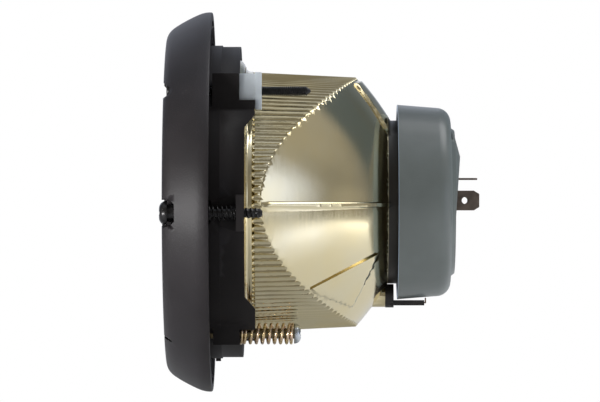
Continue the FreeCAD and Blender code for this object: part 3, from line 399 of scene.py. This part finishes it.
def bare_metal(name, shade, other, metallic, roughness, cell, painted_shade=None, painted_shade_end=0.0):
    """Plated or oxidised metal that drifts between two colours, with painted shade ahead of a
    place.
    """
    material, g = new_finish(name)
    drift = g.noise(cell, detail=4.0)
    scuff = g.noise(1500.0, detail=2.0)
    skin = g.blend(g.ramp(drift, (0.35, 0.0), (0.65, 1.0)), shade, other)
    # Painted shade: ahead of the place the metal takes a darker colour, standing for shade inside a
    # spring.
    if painted_shade:
        past_painted_shade = g.ramp((g.along() - painted_shade_end) * PER_MM, (0.0, 0.0), (0.5, 1.0))
        skin = g.blend(past_painted_shade, painted_shade, skin)
    g.surface(
        {
            "Base Color": skin,
            "Metallic": metallic,
            "Roughness": roughness + 0.14 * scuff - 0.05,
            "Normal": g.bump(scuff, 0.03 * MM, strength=0.25),
        }
    )
    return material


def nylon(name, shade):
    """Translucent nylon with flow marks."""
    material, g = new_finish(name)
    flow = g.noise(220.0, detail=4.0)
    g.surface(
        {
            "Base Color": g.blend(flow, toned(shade, 0.86), toned(shade, 1.12)),
            "Roughness": 0.3 + 0.2 * flow,
            "Subsurface Weight": 0.25,
            "Subsurface Radius": (0.002, 0.002, 0.0024),
            "Subsurface Scale": 1.0,
            "Normal": g.bump(flow, 0.08 * MM, strength=0.3),
        }
    )
    return material


def clear_glass(name, shade):
    """Clear polished glass with a faint ripple."""
    material, g = new_finish(name)
    ripple = g.noise(60.0, detail=2.0)
    g.surface(
        {
            "Base Color": tint(shade),
            "Roughness": 0.02 + 0.02 * ripple,
            "IOR": 1.5,
            "Transmission Weight": 1.0,
            "Normal": g.bump(ripple, 0.04 * MM, strength=0.2),
        }
    )
    return material


def tipped_glass(name, shade, tip, start):
    """Bulb glass whose front tip is painted dark."""
    material, g = new_finish(name)
    edge = g.noise(900.0, detail=2.0)
    paint = g.ramp((start - g.along()) * 900.0 + 0.3 * edge, (0.2, 0.0), (0.5, 1.0))
    glass = g.shader(
        {"Base Color": tint(shade), "Roughness": 0.03, "IOR": 1.5, "Transmission Weight": 1.0}
    )
    dark = g.shader({"Base Color": tint(tip), "Roughness": 0.35 + 0.2 * edge})
    mixed = g.add("ShaderNodeMixShader", None, {0: paint, 1: glass, 2: dark})
    g.add("ShaderNodeOutputMaterial", None, {"Surface": g.term(mixed)})
    return material


def to_mesh(name, bm):
    """A mesh from a bmesh, which is freed."""
    mesh = bpy.data.meshes.new(name)
    bm.to_mesh(mesh)
    bm.free()
    return mesh


def link_piece(name, mesh, material, sharp_degrees):
    """Put a mesh in the scene as a piece, with edges kept sharp above an angle."""
    mesh.shade_smooth()
    mesh.set_sharp_from_angle(angle=math.radians(sharp_degrees))
    mesh.materials.clear()
    mesh.materials.append(material)
    piece = bpy.data.objects.new(name, mesh)
    bpy.context.scene.collection.objects.link(piece)
    return piece


def link_closed(name, bm, material):
    """A new piece from a closed bmesh, with its faces turned outwards."""
    bmesh.ops.recalc_face_normals(bm, faces=bm.faces)
    return link_piece(name, to_mesh(name, bm), material, sharp_degrees=40)


def everything(bm):
    """All the vertices, edges and faces of a bmesh."""
    return bm.verts[:] + bm.edges[:] + bm.faces[:]


def only_verts(items):
    """The vertices among the items of a bmesh."""
    return [item for item in items if isinstance(item, bmesh.types.BMVert)]


def body_of(node):
    """The body that a node belongs to."""
    bodies = frame["record"]["behaviour"]["bodies"]
    return next(body for body, members in bodies.items() if node in members)


def corners(node):
    """Lowest and highest corners of a node's box."""
    return [Vector(corner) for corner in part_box(node)]


def middle(node):
    """Centre of a node's box."""
    low, high = corners(node)
    return (low + high) / 2


def seat(piece, node, replace=True):
    """Let a piece move with a node's body, and stand for the node if it replaces it."""
    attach(piece, body_of(node))
    if replace:
        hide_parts(node)


def dressed(node, material, edge=0.0, sharp_degrees=28, flat=True, pick=None, reshape=None):
    """Stand a welded, smoothly shaded copy of a CAD node in for the node.

    flat makes its flat faces whole, reshape changes its form, and edge is the rounding of its
    sharp edges, or of those that pick accepts.
    """
    bm = bmesh.new()
    bm.from_mesh(frame["nodes"][node].data)
    bmesh.ops.remove_doubles(bm, verts=bm.verts, dist=CAD_WELD)
    if flat:
        bmesh.ops.dissolve_limit(bm, angle_limit=FLAT_ANGLE, verts=bm.verts, edges=bm.edges)
    if reshape:
        reshape(bm)
    if edge:
        paired = [e for e in bm.edges if len(e.link_faces) == 2]
        sharp = [e for e in paired if e.calc_face_angle() > EASED_ANGLE]
        bmesh.ops.bevel(
            bm,
            geom=[e for e in sharp if pick is None or pick(e)],
            offset=edge,
            offset_type="OFFSET",
            affect="EDGES",
            segments=2,
            profile=0.5,
            material=-1,
            clamp_overlap=True,
        )
    mesh = to_mesh(f"{node}_shape", bm)
    piece = link_piece(f"{node}_dressed", mesh, material, sharp_degrees)
    shading = piece.modifiers.new("even_shading", "WEIGHTED_NORMAL")
    shading.keep_sharp = True
    seat(piece, node)


def wire_end(bm, centre, radius, sides):
    """The round end of a wire that is about to run round an axis along X."""
    turn = Matrix.Translation(centre) @ Matrix.Rotation(math.radians(90), 4, "X")
    bmesh.ops.create_circle(bm, cap_ends=True, radius=radius, segments=sides, matrix=turn)


def coil_round(bm, centre, stages, sense):
    """Run a wire's end round an axis along X, through stages of (turns, rise)."""
    geom = everything(bm)
    for turns, rise in stages:
        steps = round(turns * COIL_STEPS)
        out = bmesh.ops.spin(
            bm,
            geom=geom,
            cent=centre,
            axis=AXIS,
            dvec=AXIS * (rise / steps),
            angle=sense * turns * math.tau,
            steps=steps,
        )
        geom = out["geom_last"]


def spring(node, material, wire, turns, fixed_first, sense=1):
    """A coil spring with closed ends, wound in place of a node; on the lamp it sits between the
    bezel and the lamp.
    """
    low, high = corners(node)
    centre = (low + high) / 2
    mean = (high.z - low.z) / 2 - wire / 2
    bm = bmesh.new()
    start = Vector((low.x + wire / 2, centre.y, centre.z - mean))
    wire_end(bm, start, wire / 2, sizes().wire_sides)
    closed = wire * CLOSED_PITCH
    rise = high.x - low.x - wire - 2 * closed
    stages = [(1.0, closed), (turns, rise), (1.0, closed)]
    coil_round(bm, (start.x, centre.y, centre.z), stages, sense)
    bmesh.ops.remove_doubles(bm, verts=bm.verts, dist=WIRE_WELD)
    piece = link_closed(f"{node}_coil", bm, material)
    ends = [Vector((low.x, centre.y, centre.z)), Vector((high.x, centre.y, centre.z))]
    if not fixed_first:
        ends.reverse()
    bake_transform(piece)
    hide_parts(node)


def thread(node, material, radius, start, end, pitch, height):
    """A screw thread: a pointed ridge that winds along the screw."""
    centre = middle(node)
    bm = bmesh.new()
    foot = centre.z + radius - THREAD_SINK
    root = [
        Vector((start - pitch * THREAD_FOOT, centre.y, foot)),
        Vector((start, centre.y, centre.z + radius + height)),
        Vector((start + pitch * THREAD_FOOT, centre.y, foot)),
    ]
    bm.faces.new([bm.verts.new(point) for point in root])
    turns = (end - start) / pitch
    steps = round(turns * THREAD_STEPS)
    bmesh.ops.spin(
        bm,
        geom=everything(bm),
        cent=(start, centre.y, centre.z),
        axis=AXIS,
        dvec=AXIS * ((end - start) / steps),
        angle=turns * math.tau,
        steps=steps,
    )
    bmesh.ops.remove_doubles(bm, verts=bm.verts, dist=WIRE_WELD)
    seat(link_closed(f"{node}_thread", bm, material), node, replace=False)


class HEADLIGHT_OT_bezel(Operator):
    """Dress the grained black bezel"""

    bl_idname = "headlight.bezel"
    bl_label = "Bezel"

    # Share of the bezel's reach past which an edge is on its outer rim
    OUTER_SHARE = 0.995

    def execute(self, context):
        finish = grained_plastic(
            "grained_black",
            colours().bezel,
            roughness=0.48,
            grain=1700.0,
            depth=0.2 * MM,
            sheen=0.42,
        )
        dressed(
            "front_bezel", finish, edge=sizes().rim_edge, sharp_degrees=32, pick=self.rim_test()
        )
        return {"FINISHED"}

    def rim_test(self):
        """A test of whether an edge runs round the rear rim."""
        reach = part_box("front_bezel")[1]

        def on_rim(edge):
            spots = [vert.co for vert in edge.verts]
            shares = [math.hypot(spot.y / reach[1], spot.z / reach[2]) for spot in spots]
            at_rear = all(abs(spot.x) < CAD_WELD for spot in spots)
            return at_rear and min(shares) > self.OUTER_SHARE

        return on_rim


class HEADLIGHT_OT_carrier(Operator):
    """Dress the smooth black carrier ring"""

    bl_idname = "headlight.carrier"
    bl_label = "Carrier ring"

    def execute(self, context):
        finish = grained_plastic(
            "smooth_black",
            colours().carrier,
            roughness=0.52,
            grain=1400.0,
            depth=0.04 * MM,
            sheen=0.16,
        )
        dressed("carrier_frame", finish)
        return {"FINISHED"}


class HEADLIGHT_OT_reflector(Operator):
    """Dress the metallised reflector"""

    bl_idname = "headlight.reflector"
    bl_label = "Reflector"

    # Decimals and tolerance, in metres, by which corners of the wall are found
    DECIMALS = 6
    START_TOLERANCE = 3e-6

    # Reach of the flutes' corners at their start, as shares of the plain band's
    FLUTE_LOW = 0.966
    FLUTE_HIGH = 0.9985

    # Depth of a flute's round run-out
    DISH_DEPTH = 1.05 * MM

    # Steps of the cove's arc and round the wall, and the depth of its corner, in radii
    ARC_STEPS = 8
    WALL_STEPS = 360
    CORNER_DEPTH = 1.1

    def execute(self, context):
        shades = colours()
        finish = metal_film(
            "gold_film", shades.gold, shades.gold_pale, shades.neck, sizes().dark_neck_from
        )
        dressed("reflector", finish, sharp_degrees=20, flat=False)
        self.flute_ends(finish)
        self.cove(finish)
        return {"FINISHED"}

    def outline(self):
        """Corners of the wall where the flutes start, with the reach of its plain band."""
        spots = {
            tuple(round(c, self.DECIMALS) for c in vert.co)
            for vert in frame["nodes"]["reflector"].data.vertices
        }
        start = sizes().flute_start
        points = [Vector(p) for p in spots if abs(p[0] - start) < self.START_TOLERANCE]
        wide = max(p.y for p in points)
        high = max(p.z for p in points)
        return sorted(points, key=lambda p: math.atan2(p.z, p.y)), wide, high

    def ridges(self):
        """Starts of the ridges between the flutes, in order round the wall."""
        points, wide, high = self.outline()
        share = {p.freeze(): math.hypot(p.y / wide, p.z / high) for p in points}
        wall = [p for p in points if self.FLUTE_LOW < share[p] < self.FLUTE_HIGH]
        around = zip(wall, wall[1:] + wall[:1], wall[-1:] + wall[:-1])
        return [p for p, after, before in around if share[p] > max(share[after], share[before])]

    def flute_ends(self, finish):
        """Round run-outs where the flutes start."""
        ridges = self.ridges()
        gaps = [(a - b).length for a, b in zip(ridges, ridges[1:])]
        wide = sum(gaps) / len(gaps)
        deep = self.DISH_DEPTH
        radius = (wide * wide / 4 + deep * deep) / (2 * deep)
        bm = bmesh.new()
        lift = Matrix.Translation((wide / 2, 0, radius - deep))
        bmesh.ops.create_uvsphere(bm, u_segments=20, v_segments=16, radius=radius, matrix=lift)
        for spot, way in (((0, 0, 0), (0, 0, 1)), ((wide / 2, 0, 0), (1, 0, 0))):
            bmesh.ops.bisect_plane(
                bm, geom=everything(bm), plane_co=spot, plane_no=way, clear_outer=True
            )
        bmesh.ops.reverse_faces(bm, faces=bm.faces)
        dish = everything(bm)
        for first, last in zip(ridges, ridges[1:] + ridges[:1]):
            copy = bmesh.ops.duplicate(bm, geom=dish)
            out = Vector((0, last.z - first.z, first.y - last.y))
            turn = Vector((0, 0, 1)).rotation_difference(out).to_matrix().to_4x4()
            place = Matrix.Translation((first + last) / 2) @ turn
            bmesh.ops.transform(bm, matrix=place, verts=only_verts(copy["geom"]))
        bmesh.ops.delete(bm, geom=only_verts(dish), context="VERTS")
        mesh = to_mesh("flute_ends", bm)
        piece = link_piece("flute_ends", mesh, finish, sharp_degrees=60)
        seat(piece, "reflector", replace=False)

    def cove(self, finish):
        """Hollow rounding where the flange runs into the plain band."""
        _, wide, high = self.outline()
        radius = sizes().cove_radius
        centre = Vector((sizes().cove_end, 0, high + radius))
        bm = bmesh.new()
        corner = bm.verts.new(centre - Vector((radius, 0, radius * self.CORNER_DEPTH)))
        arc = []
        for step in range(self.ARC_STEPS + 1):
            angle = math.radians(180 + 90 * step / self.ARC_STEPS)
            spoke = radius * Vector((math.cos(angle), 0, math.sin(angle)))
            arc.append(bm.verts.new(centre + spoke))
        ring = [corner, *arc]
        edges = [bm.edges.new(pair) for pair in zip(ring, ring[1:] + ring[:1])]
        bmesh.ops.spin(
            bm,
            geom=ring + edges,
            cent=(0, 0, 0),
            axis=AXIS,
            angle=math.tau,
            steps=self.WALL_STEPS,
            use_merge=True,
        )
        bmesh.ops.scale(bm, vec=(1, wide / high, 1), verts=bm.verts)
        seat(link_closed("flange_cove", bm, finish), "reflector", replace=False)


class HEADLIGHT_OT_lens(Operator):
    """Dress the front glass and its seal"""

    bl_idname = "headlight.lens"
    bl_label = "Lens"

    def execute(self, context):
        dressed("lens", clear_glass("lens_glass", colours().glass))
        dressed("lens_seal", rubber("seal_rubber", colours().rubber))
        return {"FINISHED"}


class HEADLIGHT_OT_cap(Operator):
    """Dress the rubber dust cap"""

    bl_idname = "headlight.cap"
    bl_label = "Dust cap"

    # Depth of the painted light on the cap's front
    PAINTED_FRONT_DEPTH = 0.02 * MM

    # The pull ridge in the frame: its height above the disc, and where its top corners are
    RIDGE_HEIGHT = 2.1 * MM
    TOP_ABOVE = 28 * MM
    TOP_WITHIN = 3 * MM

    # How far its crest and top corners draw in, as shares, and how far the corners drop
    CREST_SHARE = 0.69
    TOP_SHARE = 0.875
    TOP_DROP = 0.82 * MM

    def execute(self, context):
        # Painted light: the cap's front gets a paler, bluer skin, standing for light bounced from
        # the reflector.
        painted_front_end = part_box("dust_cap")[0][0] + self.PAINTED_FRONT_DEPTH
        finish = rubber("cap_rubber", colours().cap, colours().cap_front_painted_light, painted_front_end)
        dressed("dust_cap", finish, sharp_degrees=35, reshape=self.slope_ridge)
        return {"FINISHED"}

    def slope_ridge(self, bm):
        """Slope the sides of the pull ridge, by drawing in its crest and its top corners."""
        rear = max(vert.co.x for vert in bm.verts)
        disc = rear - self.RIDGE_HEIGHT
        crest = [vert for vert in bm.verts if vert.co.x > rear - LEVEL]
        half = max(vert.co.y for vert in crest)
        side = [vert for vert in bm.verts if abs(abs(vert.co.y) - half) < LEVEL]
        near = [vert for vert in side if vert.co.x > rear - self.TOP_WITHIN]
        top = [vert for vert in near if vert.co.z > self.TOP_ABOVE]
        foot = [vert for vert in side if vert.co.z > 0 and abs(vert.co.x - disc) < LEVEL]
        slope = next(face for face in crest[0].link_faces if set(top) <= set(face.verts))
        shoulder = [vert for vert in slope.verts if abs(vert.co.x - disc) < LEVEL]
        for starts, ends in ((crest, shoulder), (crest, foot), (top, foot)):
            for start in starts:
                end = next(vert for vert in ends if vert.co.y * start.co.y > 0)
                face = next(face for face in start.link_faces if end in face.verts[:])
                bmesh.utils.face_split(face, start, end)
        bmesh.ops.scale(bm, vec=(1, self.CREST_SHARE, 1), verts=crest)
        bmesh.ops.scale(bm, vec=(1, self.TOP_SHARE, 1), verts=top)
        bmesh.ops.translate(bm, vec=(-self.TOP_DROP, 0, 0), verts=top)


class HEADLIGHT_OT_bulb(Operator):
    """Dress the bulb, its blades and its clip"""

    bl_idname = "headlight.bulb"
    bl_label = "Bulb"

    # Length of the glass's painted tip
    PAINTED_TIP = 9 * MM

    def execute(self, context):
        shades = colours()
        steel = bare_metal(
            "plated_steel",
            shades.steel,
            toned(shades.steel, 0.8),
            metallic=1.0,
            roughness=0.32,
            cell=90.0,
        )
        blade = bare_metal(
            "tarnished_blade",
            shades.blade,
            toned(shades.blade, 1.5),
            metallic=0.75,
            roughness=0.42,
            cell=260.0,
        )
        moulding = grained_plastic(
            "dark_moulding", shades.carrier, roughness=0.5, grain=1800.0, depth=0.08 * MM
        )
        tip_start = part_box("bulb_glass")[0][0] + self.PAINTED_TIP
        glass = tipped_glass("bulb_glass", shades.glass, shades.carrier, tip_start)
        dressed("bulb_glass", glass)
        for node in ("bulb_base", "bulb_shield", "bulb_filaments", "bulb_clip"):
            dressed(node, steel)
        dressed("bulb_insulator", moulding)
        for place in ("top", "left", "right"):
            dressed(f"bulb_terminal_{place}", blade, edge=sizes().metal_edge)
        return {"FINISHED"}


class HEADLIGHT_OT_sidelight(Operator):
    """Dress the sidelight holder, its bulb and its tab"""

    bl_idname = "headlight.sidelight"
    bl_label = "Sidelight"

    def execute(self, context):
        shades = colours()
        black = grained_plastic(
            "holder_black", shades.carrier, roughness=0.45, grain=1800.0, depth=0.06 * MM
        )
        brass = bare_metal(
            "dull_brass",
            shades.brass,
            toned(shades.brass, 1.6),
            metallic=0.9,
            roughness=0.35,
            cell=400.0,
        )
        dressed("sidelight_holder", black)
        dressed("sidelight_bulb", clear_glass("side_glass", shades.glass))
        dressed("sidelight_terminal", brass, edge=sizes().metal_edge)
        return {"FINISHED"}


class HEADLIGHT_OT_aim(Operator):
    """Dress the aim screws with their threads and nylon nuts"""

    bl_idname = "headlight.aim"
    bl_label = "Aim screws"

    # Place where the thread starts, and the plain tip behind its end
    THREAD_START = -8 * MM
    PLAIN_TIP = 1.6 * MM

    # What counts as shank: all behind this place that lies within this radius
    SHANK_START = -15.5 * MM
    SHANK_RADIUS = 1.95 * MM

    def execute(self, context):
        oxide = bare_metal(
            "black_oxide",
            toned(colours().oxide, 0.6),
            colours().oxide,
            metallic=0.3,
            roughness=0.3,
            cell=500.0,
        )
        white = nylon("white_nylon", colours().nylon)
        for side in SIDES:
            node = f"aim_screw_{side}"
            dressed(node, oxide, reshape=self.thin_core(middle(node)))
            thread(
                node,
                oxide,
                radius=sizes().aim_core,
                start=self.THREAD_START,
                end=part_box(node)[1][0] - self.PLAIN_TIP,
                pitch=sizes().aim_pitch,
                height=sizes().aim_thread,
            )
            dressed(f"aim_nut_{side}", white, edge=sizes().moulded_edge)
        return {"FINISHED"}

    def thin_core(self, centre):
        """A reshaping that thins a shank to the core of its thread."""
        axis = Matrix.Translation((0, -centre.y, -centre.z))

        def reach(vert):
            return math.hypot(vert.co.y - centre.y, vert.co.z - centre.z)

        def thin(bm):
            behind = [vert for vert in bm.verts if vert.co.x > self.SHANK_START]
            shank = [vert for vert in behind if reach(vert) < self.SHANK_RADIUS]
            share = sizes().aim_core / max(reach(vert) for vert in shank)
            bmesh.ops.scale(bm, vec=(1, share, share), space=axis, verts=shank)

        return thin


class HEADLIGHT_OT_pivot(Operator):
    """Dress the pivot screws and wind their springs"""

    bl_idname = "headlight.pivot"
    bl_label = "Pivot screws"

    # Radius of the screw, start of its thread before its end, and its plain tip
    CORE_RADIUS = 1.75 * MM
    THREAD_LEAD = 6.2 * MM
    PLAIN_TIP = 1.2 * MM

    def execute(self, context):
        oxide = bare_metal(
            "oiled_oxide",
            colours().oxide,
            toned(colours().oxide, 1.8),
            metallic=0.6,
            roughness=0.26,
            cell=500.0,
        )
        for side in SIDES:
            node = f"pivot_screw_{side}"
            dressed(node, oxide)
            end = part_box(node)[1][0]
            thread(
                node,
                oxide,
                radius=self.CORE_RADIUS,
                start=end - self.THREAD_LEAD,
                end=end - self.PLAIN_TIP,
                pitch=sizes().pivot_pitch,
                height=sizes().pivot_thread,
            )
            spring(
                f"pivot_spring_{side}",
                oxide,
                wire=sizes().pivot_wire,
                turns=sizes().pivot_turns,
                fixed_first=True,
            )
        return {"FINISHED"}


class HEADLIGHT_OT_tension(Operator):
    """Dress the tension screws and wind their springs"""

    bl_idname = "headlight.tension"
    bl_label = "Tension screws"

    # Gap between the end of the spring and the bright head of the screw
    HEAD_GAP = 0.1 * MM

    def execute(self, context):
        shades = colours()
        zinc = bare_metal(
            "bright_zinc",
            shades.zinc,
            toned(shades.zinc, 0.8),
            metallic=1.0,
            roughness=0.22,
            cell=300.0,
            # Painted shade: the shank inside the spring is darker zinc, standing for the shade
            # among the coils.
            painted_shade=shades.zinc_painted_shade,
            painted_shade_end=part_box("tension_spring_left")[1][0] + self.HEAD_GAP,
        )
        yellow = bare_metal(
            "yellow_zinc",
            shades.zinc_yellow,
            shades.zinc_pink,
            metallic=1.0,
            roughness=0.24,
            cell=260.0,
        )
        for side in SIDES:
            dressed(f"tension_screw_{side}", zinc)
            spring(
                f"tension_spring_{side}",
                yellow,
                wire=sizes().tension_wire,
                turns=sizes().tension_turns,
                fixed_first=False,
                sense=-1,
            )
        return {"FINISHED"}


class HEADLIGHT_OT_stage(Operator):
    """Set the floor, the soft lights, the pale surroundings and the camera"""

    bl_idname = "headlight.stage"
    bl_label = "Stage"

    # Camera: its place along the lamp, its height, its sensor and its lens in millimetres
    CAMERA_X = 34.8 * MM
    CAMERA_Z = 0.4 * MM
    SENSOR = 36.0
    LENS = 300.0
    CLIP_END = 20.0

    # The floor's colour, and its glow in mirrors with its place and its falls along X and Y
    PALE = (0.93, 0.93, 0.92)
    GLOW = (0.48, 0.55, 0.82)
    GLOW_PLACE = (0.58, -0.16)
    GLOW_FALLS = (2.6, 8.0)

    # The room that mirrors see: its shades from the near side to the far side
    ROOM = (
        (0.22, (0.24, 0.23, 0.21)),
        (0.40, (0.42, 0.41, 0.38)),
        (0.60, (0.38, 0.37, 0.35)),
        (0.65, (0.10, 0.13, 0.165)),
    )

    # Its other colours, and the direction of its window
    CLOUD = (0.12, 0.125, 0.13)
    BACKDROP = (0.72, 0.77, 0.90)
    CEILING = (0.60, 0.64, 0.72)
    WINDOW = (1.20, 1.32, 1.70)
    WINDOW_WAY = (0.927, -0.365, 0.088)

    def execute(self, context):
        scene = context.scene
        scene.view_settings.view_transform = "Standard"
        self.floor()
        self.surroundings(scene)
        soft_light("top_light", (0.8, 0.25, 1.3), wide=1.0, high=1.0, power=8.0)
        soft_light("front_light", (-0.75, -0.75, -0.08), wide=0.6, high=0.09, power=8.2)
        rear = soft_light("rear_light", (0.9, 0.15, 0.1), wide=0.4, high=0.4, power=2.6)
        rear.visible_glossy = False
        self.camera(scene)
        return {"FINISHED"}

    def camera(self, scene):
        """A long lens square to the lamp's side."""
        camera = bpy.data.cameras.new("photo_camera")
        camera.sensor_width = self.SENSOR
        camera.lens = self.LENS
        camera.clip_end = self.CLIP_END
        view = bpy.data.objects.new("photo_camera", camera)
        view.location = (self.CAMERA_X, -sizes().camera_distance, self.CAMERA_Z)
        view.rotation_euler = (math.radians(90), 0.0, 0.0)
        scene.collection.objects.link(view)
        scene.camera = view

    def floor(self):
        """A plain pale disc below the lamp, which fades to white for the camera."""
        bm = bmesh.new()
        drop = Matrix.Translation((STAGE_X, 0.0, -sizes().floor_drop))
        bmesh.ops.create_circle(
            bm, cap_ends=True, radius=sizes().floor_radius, segments=96, matrix=drop
        )
        mesh = to_mesh("floor", bm)
        mesh.materials.append(self.floor_finish())
        floor = bpy.data.objects.new("floor", mesh)
        bpy.context.scene.collection.objects.link(floor)

    def floor_finish(self):
        """Pale and matt, with a grey painted shadow band and a bluish glow that only mirrors see.
        """
        material, g = new_finish("pale_floor")
        ray = g.add("ShaderNodeLightPath")
        seen, mirrored = g.term(ray, "Is Camera Ray"), g.term(ray, "Is Glossy Ray")
        x, y, _ = g.axes(g.place())
        # Painted shadow: mirrors see the floor darker in a band under the lamp.
        band = g.ramp(x * 4.0 + 0.5, (0.26, 0.9), (0.44, 0.55), (0.74, 0.55), (1.0, 0.95))
        long = (x - self.GLOW_PLACE[0]) * self.GLOW_FALLS[0]
        wide = (y - self.GLOW_PLACE[1]) * self.GLOW_FALLS[1]
        spread = long * long + wide * wide
        glow = g.ramp(spread, (0.03, 1.0), (0.3, 0.4), (1.0, 0.0)) * mirrored
        far = g.ramp(x * x + y * y, (0.02, 0.45), (0.12, 0.8), (0.5, 1.0)) * seen
        shade = g.blend(mirrored, self.PALE, band)
        g.surface(
            {
                "Base Color": g.blend(far, shade, BLACK),
                "Roughness": 0.8,
                "Emission Color": g.blend(far, g.blend(glow, BLACK, self.GLOW), WHITE),
                "Emission Strength": 1.0,
            }
        )
        return material

    def surroundings(self, scene):
        """White to the eye and through glass, a softly graded room to everything else."""
        world = bpy.data.worlds.new("surroundings")
        world.use_nodes = True
        scene.world = world
        g = Graph(world.node_tree)
        ray = g.add("ShaderNodeLightPath")
        seen = g.term(ray, "Is Camera Ray").highest(g.term(ray, "Is Transmission Ray"))
        around = g.term(g.add("ShaderNodeTexCoord"), "Generated")
        x, y, z = g.axes(around)
        rearward, across = x * 0.5 + 0.5, y * 0.5 + 0.5
        room = g.ramp(across, *self.ROOM)
        cloud = g.noise(3.2, detail=4.0, where=around)
        room = g.blend(g.ramp(cloud, (0.46, 0.0), (0.64, 0.4)), room, self.CLOUD)
        far_side = g.ramp(across, (0.84, 0.0), (0.92, 1.0))
        front_half = g.ramp(rearward, (0.53, 1.0), (0.60, 0.1))
        room = g.blend(far_side * front_half, room, self.BACKDROP)
        room = g.blend(g.ramp(z, (0.72, 0.0), (0.92, 0.8)), room, self.CEILING)
        facing = x * self.WINDOW_WAY[0] + y * self.WINDOW_WAY[1] + z * self.WINDOW_WAY[2]
        window = g.ramp(facing, (0.965, 0.0), (0.988, 0.45), (0.998, 1.0))
        room = g.blend(window, room, self.WINDOW)
        plain = g.blend(seen, room, WHITE)
        light = g.add("ShaderNodeBackground", None, {"Color": plain, "Strength": 1.0})
        g.add("ShaderNodeOutputWorld", None, {"Surface": g.term(light)})


def soft_light(name, place, wide, high, power):
    """A soft light that faces the lamp."""
    light = bpy.data.lights.new(name, "AREA")
    light.shape = "RECTANGLE"
    light.size = wide
    light.size_y = high
    light.energy = power
    item = bpy.data.objects.new(name, light)
    item.location = place
    item.visible_camera = False
    way = Vector((STAGE_X, 0, 0)) - Vector(place)
    item.rotation_euler = way.to_track_quat("-Z", "Y").to_euler()
    bpy.context.scene.collection.objects.link(item)
    return item


PIECES = (
    HEADLIGHT_OT_bezel,
    HEADLIGHT_OT_carrier,
    HEADLIGHT_OT_reflector,
    HEADLIGHT_OT_lens,
    HEADLIGHT_OT_cap,
    HEADLIGHT_OT_bulb,
    HEADLIGHT_OT_sidelight,
    HEADLIGHT_OT_aim,
    HEADLIGHT_OT_pivot,
    HEADLIGHT_OT_tension,
    HEADLIGHT_OT_stage,
)


class HEADLIGHT_PT_panel(Panel):
    """Lists the pieces of the headlight"""

    bl_idname = "HEADLIGHT_PT_panel"
    bl_label = "Headlight"
    bl_space_type = "VIEW_3D"
    bl_region_type = "UI"
    bl_category = "Headlight"

    def draw(self, context):
        for piece in PIECES:
            self.layout.operator(piece.bl_idname)


CLASSES = (HeadlightSizes, HeadlightColours, *PIECES, HEADLIGHT_PT_panel)


def register():
    """Add the settings, operators and panel."""
    for item in CLASSES:
        bpy.utils.register_class(item)
    bpy.types.Scene.headlight_sizes = PointerProperty(type=HeadlightSizes)
    bpy.types.Scene.headlight_colours = PointerProperty(type=HeadlightColours)


def unregister():
    """Take the settings, operators and panel away."""
    del bpy.types.Scene.headlight_colours
    del bpy.types.Scene.headlight_sizes
    for item in reversed(CLASSES):
        bpy.utils.unregister_class(item)


def main():
    """Build every piece and the stage."""
    register()
    for piece in PIECES:
        group, name = piece.bl_idname.split(".")
        getattr(getattr(bpy.ops, group), name)()
    bpy.context.view_layer.update()


if __name__ == "__main__":
    main()
